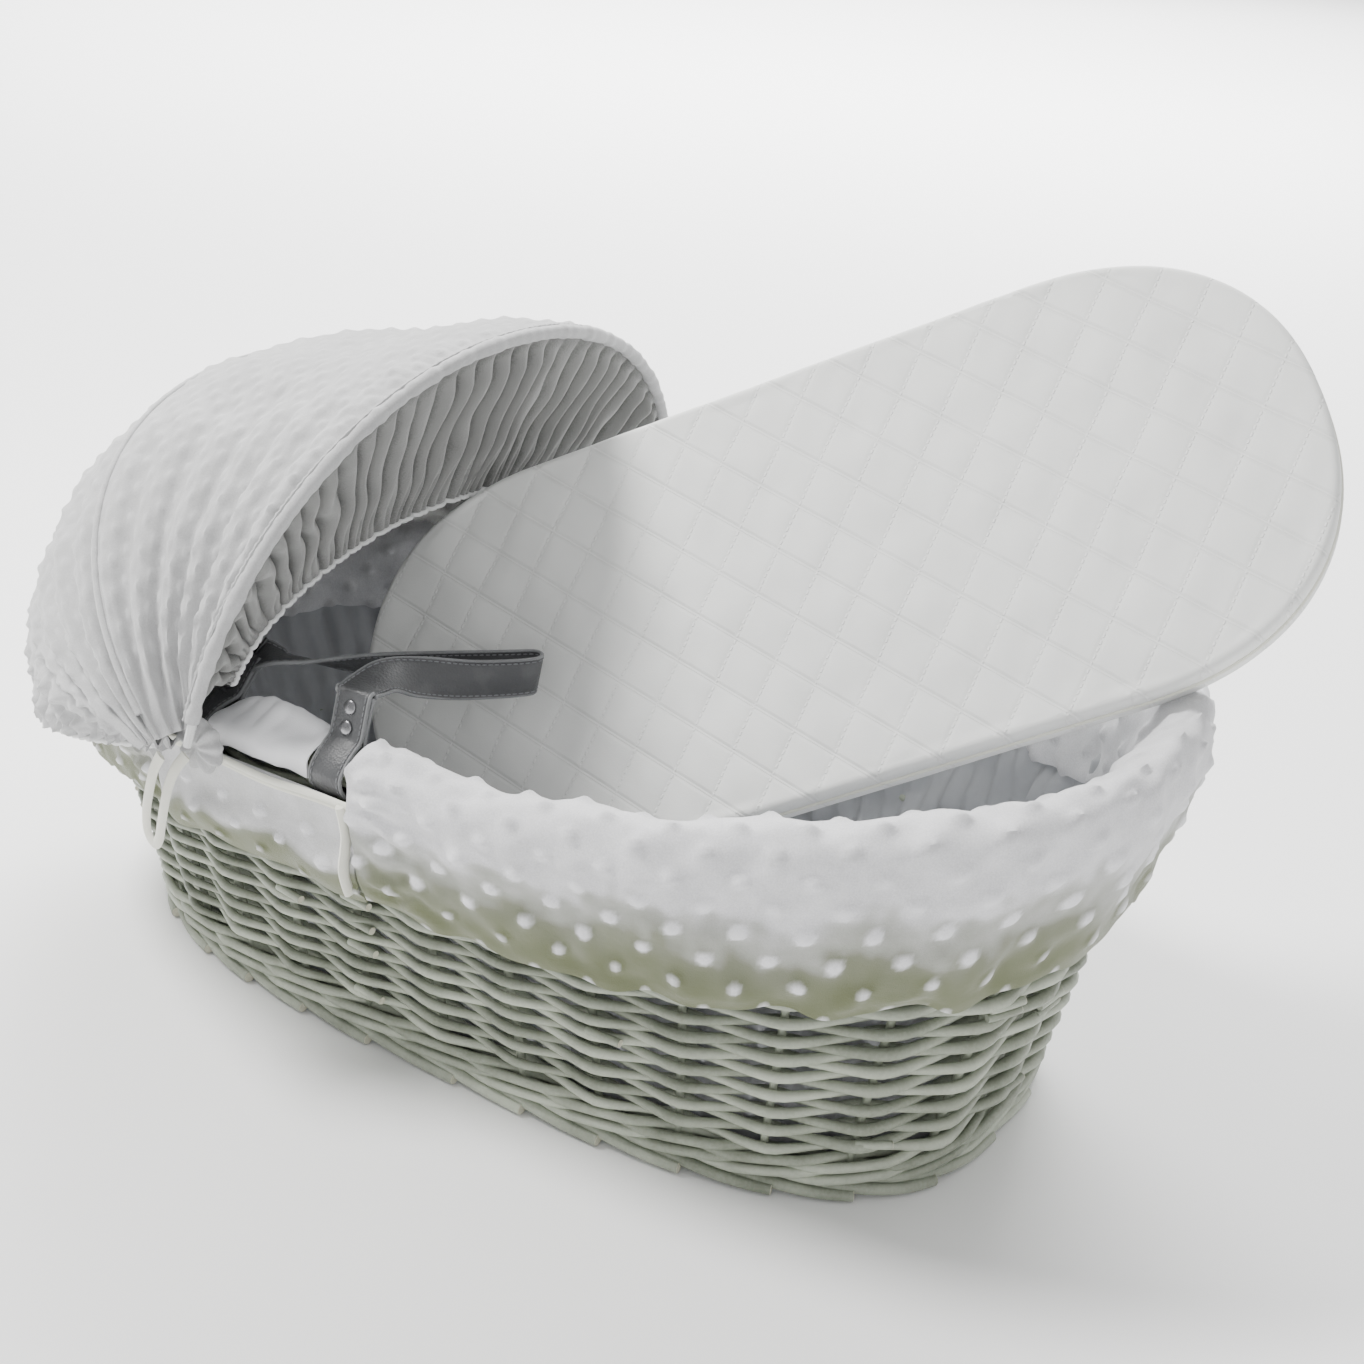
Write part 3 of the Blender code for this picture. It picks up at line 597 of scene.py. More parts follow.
def weave_butts(pile, stakes, low, pitch):
    """The cut ends of rods that stand out beside a stake, where one rod takes over from another."""
    draw = np.random.default_rng(7)
    for _ in range(46):
        stake = int(draw.integers(0, STAKES))
        row = float(draw.integers(1, ROWS - 1))
        places = stake + np.linspace(-0.05, 0.34, 5)
        angles = stake_angle(places)
        step = float(np.mean(pitch))
        path = wall_at(angles, low + step * (row + 0.5), np.linspace(0.0066, 0.0092, 5))
        pile.tube(path, step * 0.42, shade=draw.uniform(0.3, 0.8))
        end = path[-1] + unit(path[-1] - path[-2]) * 0.0002
        pile.tube([end, end + unit(path[-1] - path[-2]) * 0.0003], step * 0.40, slot=1)


def weave_wale():
    """Two rounds of three rods, each passing outside two stakes and inside one."""
    pile = Pile()
    places = np.arange(STAKES * STAKE_STEPS) / STAKE_STEPS
    angles = stake_angle(places)
    for lap in range(2):
        for strand in range(3):
            turn = TURN * (places + strand) / 3
            offset = 0.0074 * np.clip(np.cos(turn) + 0.30, -0.8, 1.0)
            height = 0.0190 + 0.0100 * lap + 0.0034 * np.sin(turn)
            path = wall_at(angles, height, offset)
            pile.tube(path, 0.0035, ring=True, shade=rod_shades(300 + 3 * lap + strand, places))
    pile.piece("weave_wale", [WILLOW], slot="painted_willow", stands_for=["lower_wale"])


def weave_foot():
    """The foot border: each stake's rod passes behind its neighbour, then out and along to a cut end."""
    pile = Pile()
    line = spline(FOOT_ROD, 7)
    for number in range(STAKES):
        draw = np.random.default_rng(500 + number)
        places, offsets, heights = line.T
        places = np.where(places > 0.9, places + draw.uniform(-0.05, 0.10), places)
        path = wall_at(stake_angle(number + places), heights, offsets)
        radius = 0.0044 * draw.uniform(0.93, 1.04)
        pile.tube(path, radius, sides=10, shade=draw.uniform(0.3, 0.85))
        tip = unit(path[-1] - path[-2])
        pile.tube([path[-1], path[-1] + tip * 0.0004], radius * 0.93, sides=10, slot=1)
    ring = wall_at(stake_angle(np.arange(STAKES * 4) / 4), 0.0062, -0.0030)
    pile.tube(ring, 0.0048, ring=True, shade=0.2)
    pile.piece("weave_foot", [WILLOW, CUT_WILLOW], slot="painted_willow", stands_for=["foot_border"])


def weave_rim():
    """The rope border of four twisted rods round the top."""
    pile = Pile()
    places = np.arange(STAKES * 10) / 10
    angles = stake_angle(places)
    for strand in range(4):
        turn = TURN * (places / 1.5 + strand / 4)
        path = rim_point(angles, 0.0045 * np.cos(turn), BORDER_DROP + 0.0045 * np.sin(turn))
        pile.tube(path, 0.0043, ring=True, shade=rod_shades(700 + strand, places))
    pile.piece("weave_rim", [WILLOW], slot="painted_willow", stands_for=["rim_border"])


weave_rows()
weave_wale()
weave_foot()
weave_rim()
dress("base_board", WOOD)


# ---- the liner ----

LINER_OFFSET = -0.0090


def make_liner():
    angles, run = even_angles(0, TURN, 561, 0.8)
    angles, run = angles[:-1], run[:-1]
    foot = 0.0122
    share = np.linspace(0, 1, 44)[None, :]
    around = run[:, None]
    rim = rim_z(wall_point(angles, 1.0, 0.0)[:, 0])[:, None]
    top = rim - ROW_TOP_DROP
    heights = foot + (top - foot) * share
    fold = ripple(11, around, 0.25 * share, 0.05) + 0.6 * np.sin(TURN * around / (run[-1] / 96))
    bulge = -0.0035 * (1 + fold) * ramp(share, 0.0, 0.12) * (1 - ramp(share, 0.93, 1.0))
    dimple = 0.0012 * dots(around, (top - foot) * share)
    outer = wall_at(angles[:, None], heights, LINER_OFFSET + bulge - dimple)
    inner = wall_at(angles[:, None], heights, LINER_OFFSET - 0.0015 + bulge - dimple)
    section = np.concatenate([outer, inner[:, ::-1]], axis=1)
    pile = Pile()
    pile.grid(section, ring_along=True, ring_across=True)
    side = pile.piece("liner_folds", [LINER], slot="lining_cloth", stands_for=["liner_side"])


make_liner()
dress("liner_floor", LINER)


# ---- the padded cover ----

COVER_OUTLINE = (
    (-0.0130, 0.050), (-0.0130, 0.008), (-0.0105, 0.0005), (-0.005, -0.0030), (0.005, -0.0030),
    (0.0105, 0.0005), (0.0115, 0.020), (0.0130, 0.050), (0.0160, 0.092), (0.0205, 0.092),
    (0.0225, 0.050), (0.0235, 0.018), (0.0205, -0.002), (0.0120, -0.0120), (0.0, -0.0155),
    (-0.0120, -0.0120), (-0.0200, -0.002), (-0.0215, 0.020), (-0.0190, 0.050),
)
SKIN_FROM = 9  # the outline's first point on its outer, visible side
CLOTH_STEP = 0.0029
SKIRT_TOP = 0.064  # how far above its hem the skirt goes over into the padded roll


def even_line(points, step):
    """Points equally far apart along a smooth line through the given ones, and how far along each is."""
    dense = spline([(*p, 0.0) for p in points], 12)[:, :2]
    run = lengths_along(dense)
    even = np.linspace(0, run[-1], max(4, round(run[-1] / step)))
    return np.stack([np.interp(even, run, dense[:, i]) for i in (0, 1)], axis=1), even


def padded_skin(pile, ends, seed):
    """A stretch of the padded cover, dimpled and gathered beside the openings; returns each point's share of
    the painted green reflection and painted shade on the skirt.
    """
    angles, run = even_angles(*ends, int((ends[1] - ends[0]) * 0.36 / CLOTH_STEP), 1.0)
    hidden, _ = even_line(COVER_OUTLINE[: SKIN_FROM + 1], 0.008)
    skin, across = even_line(COVER_OUTLINE[SKIN_FROM:] + COVER_OUTLINE[:1], CLOTH_STEP)
    along, across = run[:, None], across[None, :]
    ways = unit(np.gradient(skin, axis=0))
    out_offset, out_drop = -ways[:, 1], ways[:, 0]
    if out_offset[len(skin) // 4] < 0:
        out_offset, out_drop = -out_offset, -out_drop
    raised = dots(along, across)
    low = 1 - ramp(across, 0.074, 0.100)
    edge = ramp(across, 0.0, 0.010)
    soft = 0.0015 * ripple(seed, along, across, 0.030) + 0.0030 * ripple(seed + 1, along, across, 0.11)
    puckers = np.zeros_like(soft)
    for place in (0.0, 1.0):
        near = np.exp(-((along - place * run[-1]) ** 2) / (2 * 0.030**2))
        free = 1 - np.exp(-((along / run[-1] - place) ** 2) * (run[-1] / 0.009) ** 2)
        folds = np.sin(TURN * (across + 0.006 * ripple(seed + 5, along, across, 0.05)) / 0.019)
        puckers = puckers + 0.0034 * near * folds * free
    height = (0.0036 * low + 0.0030 * (1 - low)) * raised + soft + puckers
    height = height * edge + 0.0012 * edge
    hem = 1 - ramp(across, 0.0, 0.055)
    hem_wave = 0.0045 * ripple(seed + 3, along, 0.0, 0.075) + 0.0025 * ripple(seed + 4, along, 0.0, 0.032)
    offset = skin[None, :, 0] + out_offset * height + 0.35 * hem * np.abs(hem_wave)
    drop = skin[None, :, 1] + out_drop * height + hem * hem_wave
    outer = rim_point(angles[:, None], offset, drop)
    back = rim_point(angles[:, None], hidden[None, 1:-1, 0], hidden[None, 1:-1, 1])
    # Painted highlight on the raised dots low on the roll, painted shade on those on its top.
    dot_highlight_and_shade = 0.45 + (0.55 * low - 0.45 * (1 - low)) * raised
    shade = np.concatenate([dot_highlight_and_shade, np.full(back.shape[:2], 0.5)], axis=1)
    pile.grid(np.concatenate([outer, back], axis=1), ring_across=True, caps=True, shade=shade)
    # Each point's share of the painted green reflection and shade: full near the hem, half up to the top of the
    # skirt, with a ragged edge.
    ragged = 0.010 * ripple(seed + 6, along, 0.0, 0.05) + 0.004 * ripple(seed + 7, along, across, 0.02)
    painted_reflection = 0.5 * (1 - ramp(across + ragged, SKIRT_TOP - 0.014, SKIRT_TOP + 0.008))
    painted_reflection = painted_reflection + 0.5 * (1 - ramp(across + ragged, 0.008, 0.050))
    return np.concatenate([painted_reflection, np.zeros(back.shape[:2])], axis=1)


def make_cover():
    near = [rim_angle(x, -1) for x in OPENING_X]
    far = [rim_angle(x, 1) for x in OPENING_X]
    for name, ends, seed in (("head", (far[0], near[0]), 20), ("foot", (near[1] - TURN, far[1]), 30)):
        pile = Pile()
        skirt = padded_skin(pile, ends, seed)
        stands_for = [f"cover_{name}"]
        made = pile.piece(f"plush_{name}", [COVER_PLUSH], "root", "white_plush", stands_for, skirt=skirt)


make_cover()


# ---- the cloth at the handle openings ----

FLAP_OUTLINE = (
    (0.0188, 0.022), (0.0180, 0.034), (0.0180, 0.046), (0.0205, 0.056), (0.0245, 0.070), (0.0235, 0.086),
    (0.0205, 0.098),
)
BOUND_EDGE = (0.0215, 0.0212)
LINING_OUTLINE = (
    (-0.0190, 0.048), (-0.0188, 0.020), (-0.0180, 0.000), (-0.0130, -0.006), (-0.0040, -0.0035),
    (0.0060, -0.0005), (0.0112, 0.0060), (0.0118, 0.0170),
)
LINING_WIDE = 0.006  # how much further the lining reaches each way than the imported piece
SLIT = math.radians(0.15)


def make_opening(side, sign, ends):
    """The flap below a handle opening, its bound edge, and the lining between the strap's legs."""
    angles, run = even_angles(ends[0] + SLIT, ends[1] - SLIT, 72, 1.0)
    skin, across = even_line(FLAP_OUTLINE, 0.0026)
    along, across = run[:, None], across[None, :]
    raised = dots(along + 0.011, across, (0.0062, 0.0052)) * ramp(across, 0.018, 0.030)
    wave = 0.004 * ripple(41, along, 0.0, 0.06) * ramp(across, 0.030, 0.078)
    ends_in = np.minimum(along, run[-1] - along)
    swell = 0.0030 * ramp(across, 0.022, 0.040) * ripple(42, along, across, 0.05) + 0.0036 * raised
    offset = skin[None, :, 0] + swell + 0.0012 * np.sin(along / 0.0125) * np.exp(-ends_in / 0.02)
    outer = rim_point(angles[:, None], offset, skin[None, :, 1] + wave)
    flap = Pile()
    # The raised dots carry a painted highlight.
    cloth_shell(flap, outer, 0.0022, (0, sign, 0), 0.5 + 0.5 * (raised - 0.12))
    # The flap's share of the painted green reflection and shade: a quarter at its top, all of it low down.
    low = 0.25 + 0.75 * ramp(across + 0.004 * ripple(45, along, 0.0, 0.03), 0.046, 0.060)
    skirt = np.concatenate([low.ravel(), low.ravel()])
    stands_for = [f"cover_flap_{side}"]
    made = flap.piece(f"plush_flap_{side}", [COVER_PLUSH], "root", "white_plush", stands_for, skirt=skirt)

    sag = 0.0030 * ripple(43, run, 0.0, 0.11) * np.sin(math.pi * run / run[-1])
    bound = Pile()
    for lift in (0.0, 0.0045):
        path = rim_point(angles, BOUND_EDGE[0] - lift * 0.4, BOUND_EDGE[1] + lift + sag)
        bound.tube(path, 0.0027, hint=(0, sign, 0), flat=0.62)
    foot_end = ends[1] - 0.010 if sign < 0 else ends[0] + 0.010
    kept = skin[: int(len(skin) * 0.9)]
    fold = rim_point(np.full(len(kept), foot_end), kept[:, 0] + 0.0045, kept[:, 1] - 0.001)
    bound.tube(fold, 0.0042, hint=(1, 0, 0), flat=0.7, shade=0.4)
    bound.piece(f"bound_edge_{side}", [BINDING], slot="ivory_binding", stands_for=[f"opening_binding_{side}"])

    span = sorted(rim_angle(x, sign) for x in (LINING_X[0] - LINING_WIDE, LINING_X[1] + LINING_WIDE))
    angles, run = even_angles(*span, 46, 1.0)
    share = run[:, None] / run[-1]
    skin, across = even_line(LINING_OUTLINE, 0.0024)
    rise = across[None, :] / across[-1]
    top = np.exp(-(((rise - 0.52) / 0.20) ** 2))
    mound = 0.013 * np.sin(math.pi * share) ** 0.7 * top
    folds = 0.0014 * ripple(44, run[:, None], rise * 0.09, 0.030) * ramp(rise, 0.0, 0.3)
    offset = skin[None, :, 0] + folds * 0.6
    drop = skin[None, :, 1] - mound - np.abs(folds)
    lining = Pile()
    cloth_shell(lining, rim_point(angles[:, None], offset, drop), 0.0010, (0, sign, 0))
    made = lining.piece(f"lining_mound_{side}", [LINING], "root", "lining_cloth", [f"lining_flap_{side}"])


make_opening("near", -1, [rim_angle(x, -1) for x in OPENING_X])
make_opening("far", 1, [rim_angle(x, 1) for x in OPENING_X[::-1]])


# ---- the hood ----

HOOD_DOT = (0.024, 0.0125)  # spacing of the hood plush's dots along a row, and between rows
FOOT_SHARE = 0.013  # of an arch's half turn, left free at each foot
CANOPY_FROM, CANOPY_TO = 76.6, 135.6
BACK_FROM, BACK_TO = 136.4, 197.6
CORNER_PROFILE = (  # radius and depth of the knot of cloth at the hood's foot
    (0.0012, -0.0060, 0), (0.012, -0.0056, 0), (0.0180, -0.0010, 0), (0.0160, 0.0036, 0),
    (0.0065, 0.0064, 0), (0.0010, 0.0050, 0),
)


def bow_back():
    """The way square to the bow's arch, towards the hood's back."""
    lean = math.radians(BOW_ANGLE)
    return np.array((-math.sin(lean), 0.0, math.cos(lean)))


def hood_panel(name, node, angles, across_count, seed):
    """One panel of the hood, dimpled, with pleats that fan out from its feet."""
    front = node == "hood_canopy"
    turns = np.linspace(math.pi * FOOT_SHARE, math.pi * (1 - FOOT_SHARE), 250)[None, :]
    fans = np.linspace(*angles, across_count)[:, None]
    sizes = np.array([hood_size(a) for a in fans[:, 0]])
    radius, half = sizes[:, 0, None], sizes[:, 1, None]
    flat = arch_point(fans, turns, radius, half)
    normals = grid_normals(flat, (0, 0, 1))
    steps = np.linalg.norm(np.diff(flat, axis=1), axis=2)
    along = np.concatenate([np.zeros((len(fans), 1)), np.cumsum(steps, axis=1)], axis=1)
    length = along[:, -1:]
    foot = np.minimum(along, length - along)
    fan_run = np.radians(fans) * 0.26
    row = np.round(fan_run / HOOD_DOT[1])
    shifted = along - length / 2 - (row % 2) * HOOD_DOT[0] / 2
    off = shifted - np.round(shifted / HOOD_DOT[0]) * HOOD_DOT[0]
    raised = np.clip(1 - (off / 0.0062) ** 2 - ((fan_run - row * HOOD_DOT[1]) / 0.0047) ** 2, 0, 1)
    raised = raised * ramp(foot, 0.02, 0.06)
    swing = 0.16 * ripple(seed, along, fan_run, 0.20)
    pleats = np.cos(TURN * (fans - 90) / 10.5 + 3.2 * swing)
    pleats = 0.0046 * (pleats - 0.35 * pleats**2) * np.exp(-((foot / 0.22) ** 2)) * ramp(foot, 0.0, 0.05)
    tight = 0.0026 * np.cos(TURN * fans / 9.5 + 3 * swing) * np.exp(-foot / 0.040)
    height = 0.0019 * raised + pleats + tight + 0.0016 * ripple(seed + 1, along, fan_run, 0.085)
    height = height + 0.0006 * ripple(seed + 2, along, fan_run, 0.03)
    if front:
        brow = np.exp(-(fans - CANOPY_FROM) / 5)
        height = height + 0.0012 * brow * np.sin(TURN * along / 0.011)
        height = height * ramp(np.minimum(fans - angles[0], angles[1] - fans), 0.0, 3.0)
    else:
        hem = np.exp(-(BACK_TO - fans) / 15)
        gathered = along + 0.01 * ripple(seed + 3, along, fan_run, 0.09)
        height = height + 0.0040 * hem * np.sin(TURN * gathered / 0.021)
        height = height + 0.0028 * hem * ripple(seed + 4, along, fan_run, 0.022)
    outer = flat + normals * height[..., None]
    pile = Pile()
    # The raised dots carry a painted highlight.
    cloth_shell(pile, outer, 0.0016, (0, 0, 1), 0.42 + 0.55 * raised)
    made = pile.piece(name, [HOOD_PLUSH], None if front else "root", "white_plush", [node])
    if front:
        seam = arch_point(SEAM_ANGLE, math.pi / 2, *hood_size(SEAM_ANGLE))
        brow = arch_point(BOW_ANGLE, math.pi / 2, *hood_size(BOW_ANGLE))
        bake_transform(made)


def make_valance():
    """The strip that hangs in from the bow: broad pleats that split into gathers at its elastic edge."""
    radius, half = hood_size(BOW_ANGLE)
    turns = np.linspace(math.pi * 0.035, math.pi * 0.965, 620)[:, None]
    share = np.linspace(0, 1, 30)[None, :]
    inset = 0.0042
    size = (radius - inset) * (1 - share) + VALANCE_INNER[0] * share
    width = (half - inset) * (1 - share) + VALANCE_INNER[1] * share
    belly = 0.006 * np.sin(math.pi * share)
    leaning = turns + 0.16 * np.cos(turns) * share
    flat = arch_point(BOW_ANGLE, leaning, size, width, VALANCE_SET_BACK * np.sin(leaning) * share**1.5)
    run = lengths_along(flat[:, 0])[:, None]
    sway = 0.0050 * ripple(61, run, share * 0.10, 0.10) + 0.0030 * ripple(62, run, share * 0.10, 0.035)
    phase = TURN * (run + sway * ramp(share, 0.0, 0.4)) / 0.0190
    gathers = 2 * (np.sin(phase) ** 2 + 0.01) ** 0.4 - 1
    wave = 2 * (np.sin(phase / 2) ** 2 + 0.01) ** 0.4 - 1
    wave = wave + (0.5 * gathers - 0.2 * wave) * ramp(share, 0.62, 0.9)
    depth = 0.0070 * ramp(share, 0.0, 0.16) * (1 - 0.84 * ramp(share, 0.62, 1.0)) + 0.0006
    depth = depth * (0.8 + 0.35 * ripple(63, run, 0.0, 0.08))
    back = bow_back()
    outer = flat + (belly - depth * wave)[..., None] * back
    pile = Pile()
    # Painted shade: the pleats' valleys are darker and their ridges lighter.
    cloth_shell(pile, outer, 0.0010, -back, np.clip(0.5 + 0.5 * wave, 0, 1) * ramp(depth, 0.0, 0.004) + 0.3)
    made = pile.piece("valance_pleats", [VALANCE_PLUSH], "hood_front", "white_plush", ["hood_valance"])
    edge = Pile()
    edge.tube(outer[:, -1] - back * 0.0004, 0.0017)
    edge.piece("valance_edge", [ELASTIC], "hood_front", "elastic", ["hood_valance_elastic"])


def make_casing():
    """The sleeve round the bow, and the row of stitches that closes it."""
    radius, half = hood_size(BOW_ANGLE)
    turns = np.linspace(math.pi * 0.022, math.pi * 0.978, 520)
    path = arch_point(BOW_ANGLE, turns, radius, half)
    run = lengths_along(path)
    puckers = 1 + 0.12 * ripple(71, run, 0.0, 0.012) + 0.08 * ripple(72, run, 0.0, 0.035)
    pile = Pile()
    pile.tube(path, 0.0048 * puckers, sides=14)
    out = unit(path - np.array((HOOD_PIVOT[0], 0.0, HOOD_PIVOT[1])))
    seam = path + bow_back() * 0.0038 + out * 0.0030
    pile.tube(seam, 0.0013 * (1 + 0.3 * np.sin(run / 0.0009)), sides=6, shade=0.4)
    pile.piece("casing_sleeve", [HOOD_PLUSH], "hood_front", "white_plush", ["hood_bow_casing"])


def make_hood_edges():
    """The piped seam and the gathered elastic hem."""
    radius, half = hood_size(SEAM_ANGLE)
    turns = np.linspace(math.pi * 0.035, math.pi * 0.965, 300)
    path = arch_point(SEAM_ANGLE, turns, radius + 0.0004, half + 0.0004)
    run = lengths_along(path)
    piping = Pile()
    piping.tube(path, 0.0023 * (1 + 0.08 * ripple(81, run, 0.0, 0.01)), shade=0.6)
    piping.piece("seam_piping", [HOOD_PLUSH], "root", "white_plush", ["hood_seam_piping"])
    radius, half = hood_size(HEM_ANGLE)
    path = arch_point(HEM_ANGLE, turns, radius - 0.0015, half - 0.0015, 0.0026)
    hem = Pile()
    hem.tube(path, 0.0022 * (1 + 0.25 * np.sin(run / 0.0016)))
    hem.piece("gathered_hem", [ELASTIC], "root", "elastic", ["hood_hem_elastic"])


def make_corner(side, sign):
    """The knot of gathered cloth where the hood is caught down to the rim."""
    spokes = np.linspace(0, TURN, 72, endpoint=False)[None, :]
    profile = spline(CORNER_PROFILE, 5)
    radius, depth = profile[:, 0, None], profile[:, 1, None]
    folds = 1 + 0.10 * np.sin(9 * spokes + 0.8 * np.sin(2 * spokes)) * ramp(radius, 0.002, 0.010)
    x = HOOD_PIVOT[0] + radius * folds * np.cos(spokes)
    z = HOOD_PIVOT[1] + CORNER_AT[1] + radius * folds * np.sin(spokes)
    y = sign * (CORNER_AT[0] + depth + 0.0010 * np.sin(9 * spokes) * ramp(radius, 0.002, 0.010))
    pile = Pile()
    pile.grid(np.stack(np.broadcast_arrays(x, y, z), axis=-1), ring_across=True, caps=True)
    pile.piece(f"gathered_corner_{side}", [HOOD_PLUSH], "root", "white_plush", [f"hood_corner_{side}"])


hood_panel("canopy_cloth", "hood_canopy", (CANOPY_FROM, CANOPY_TO), 92, 50)
hood_panel("back_cloth", "hood_back", (BACK_FROM, BACK_TO), 112, 55)
make_valance()
make_casing()
make_hood_edges()
make_corner("near", -1)
make_corner("far", 1)
dress("hood_bow", ELASTIC)


# ---- the leather handles ----

STITCH_INSET, STITCH_PITCH, STITCH_LONG = 0.0030, 0.0042, 0.0029
STRAP_GROOVE = ((0.0052, 0.0001), (0.0042, 0.0005), (0.0019, 0.0005))  # inset and depth beside the stitches
DOME_RADIUS = 0.0048


def border_centre(x, side):
    return Vector(rim_point(rim_angle(x, side), 0.0, BORDER_DROP))


def leg_line(x, side, toward, outer_first):
    """The looped leg at one end, from the strap's free end round the border and back up."""
    centre = border_centre(x, side)
    half = STRAP_WIDTH / 2
    border = (border_centre(x + half, side) - border_centre(x - half, side)).normalized()
    way = toward - centre
    along = (way - border * way.dot(border)).normalized()
    edge = border * (1 if outer_first else -1)
    face = along.cross(edge) * side
    beside = (STRAP_THICK + 0.0004) / 2
    tail = [(beside, DOUBLED), (beside, 0.040), (beside, 0.024), (0.0060, 0.0170), (0.0112, 0.0085)]
    bends = [math.radians(-22.5 * k) for k in range(9)]
    under = [(LOOP_RADIUS * math.cos(a), LOOP_RADIUS * math.sin(a)) for a in bends]
    rise = [(-n, h) for n, h in reversed(tail)]
    points = [centre + face * n + along * h for n, h in tail + under + rise]
    return points, edge, [centre + along * h for h in RIVETS_AT], face


def strap_path(keys, side):
    first, first_edge, first_rivets, first_face = leg_line(LEG_X[0], side, Vector(keys[0][0]), True)
    last, last_edge, last_rivets, last_face = leg_line(LEG_X[1], side, Vector(keys[-1][0]), False)
    middle = spline([first[-1]] + [k[0] for k in keys[1:-1]] + [last[-1]], 3)
    turned_edges = spline([first_edge] + [k[1] for k in keys[1:-1]] + [last_edge], 3)
    points = [np.array(p) for p in first] + list(middle[1:-1]) + [np.array(p) for p in last[::-1]]
    edges = [np.array(first_edge)] * len(first) + list(turned_edges[1:-1]) + [np.array(last_edge)] * len(last)
    rivets = [(spot, first_face) for spot in first_rivets] + [(spot, last_face) for spot in last_rivets]
    return points, edges, rivets


def make_handle(side, sign, keys):
    """A strap with a rounded edge, lighter along its edges, its two rows of stitches on each face, and its
    domed rivets.
    """
    body = f"handle_{side}"
    points, edges, rivets = strap_path(keys, sign)
    path = spline(points, 5)
    edge = spline(edges, 5)
    tangent = unit(np.gradient(path, axis=0))
    edge = unit(edge - tangent * (edge * tangent).sum(axis=1)[:, None])
    face = np.cross(tangent, edge)
    half, thick = STRAP_WIDTH / 2, STRAP_THICK / 2
    quarter = np.radians(np.linspace(0, 90, 4))
    round_edge = 0.0011
    quadrant = [(half - inset, thick - depth) for inset, depth in STRAP_GROOVE]
    quadrant += [
        (half - round_edge + round_edge * math.sin(a), thick - round_edge * (1 - math.cos(a)))
        for a in quarter
    ]
    ring = quadrant + [(e, -f) for e, f in quadrant[::-1]]
    ring = np.array(ring + [(-e, f) for e, f in ring[::-1]])
    # Points near the strap's edges are made lighter.
    edge_lightness = np.where(np.abs(ring[:, 0]) > half - 0.0016, 0.95, 0.35)
    shape = path[:, None] + ring[None, :, :1] * edge[:, None] + ring[None, :, 1:] * face[:, None]
    strap = Pile()
    strap.grid(shape, ring_across=True, caps=True, shade=np.broadcast_to(edge_lightness, shape.shape[:2]))
    strap.piece(f"strap_{side}", [LEATHER], body, "grey_leather", [f"handle_{side}"], sharp=70)

    run = lengths_along(path)
    stitches = Pile()
    for start in np.arange(0.004, run[-1] - 0.006, STITCH_PITCH):
        spots = start + np.linspace(0, STITCH_LONG, 3)
        at, across, up = (
            np.stack([np.interp(spots, run, line[:, i]) for i in range(3)], axis=1)
            for line in (path, edge, face)
        )
        across, up = unit(across), unit(up)
        for edge_side in (-1, 1):
            for face_side in (-1, 1):
                line = at + across * edge_side * (half - STITCH_INSET) + up * face_side * (thick - 0.0003)
                stitches.tube(line, np.array((0.0003, 0.0005, 0.0003)), sides=5, hint=tuple(up[1]))
    stitches.piece(f"strap_stitches_{side}", [STRAP_THREAD], body, "grey_leather")

    lift = STRAP_THICK + 0.0002
    leans = np.radians((15, 30, 45, 60, 75, 90))
    crown = [(DOME_RADIUS * math.sin(a), lift + 0.0006 + 0.0015 * math.cos(a)) for a in leans]
    dome = [(0.0002, lift + 0.0021)] + crown + [(DOME_RADIUS, lift), (0.0020, lift - 0.0004)]
    for number, (spot, way) in enumerate(rivets, 1):
        spot, way = np.array(spot), np.array(way)
        side_way = unit(np.cross(way, (1.0, 0.3, 0.2)))
        other = np.cross(way, side_way)
        spokes = np.linspace(0, TURN, 28, endpoint=False)
        circle = np.cos(spokes)[:, None] * side_way + np.sin(spokes)[:, None] * other
        line = dome + [(r, -a) for r, a in dome[::-1]]
        rings = np.array([[spot + way * a + r * c for c in circle] for r, a in line])
        rivet = Pile()
        rivet.grid(rings, ring_across=True, caps=True)
        rivet.piece(f"dome_{side}_{number}", [METAL], body, "rivet_metal", [f"rivet_{side}_{number}"])


make_handle("near", -1, NEAR_STRAP)
make_handle("far", 1, FAR_STRAP)


# ---- the ribbon ties ----

TIE_WIDTH = 0.0080


def make_tie(side, sign):
    path = spline([(x, sign * y, z) for x, y, z in NEAR_TIE], 10)
    pile = Pile()
    pile.tube(path, TIE_WIDTH / 2, sides=12, hint=(0, 1, 0), flat=0.30)
    made = pile.piece(f"ribbon_{side}", [BINDING], "root", "ivory_binding", [f"tie_{side}"])
    length = float(np.linalg.norm(np.diff(path, axis=0), axis=1).sum())


make_tie("near", 1)
make_tie("far", -1)


# ---- the quilted mattress ----

CELL = 0.0330  # between two lines of quilting
CELL_TURNS = (46.6, -50.4)  # degrees of the two sets of lines across the mattress
PILLOW = 0.0011  # height of a diamond over its lines
MATTRESS_EDGE = 0.0055  # radius of the mattress's rounded edge
DASH = 0.0050  # from one long stitch to the next, on the set of lines whose stitches show apart


def mattress_seat():
    seat = Matrix.Translation(MATTRESS_TOP_CENTRE)
    for degrees, axis in MATTRESS_TURN:
        seat = seat @ Matrix.Rotation(math.radians(degrees), 4, axis)
    return seat


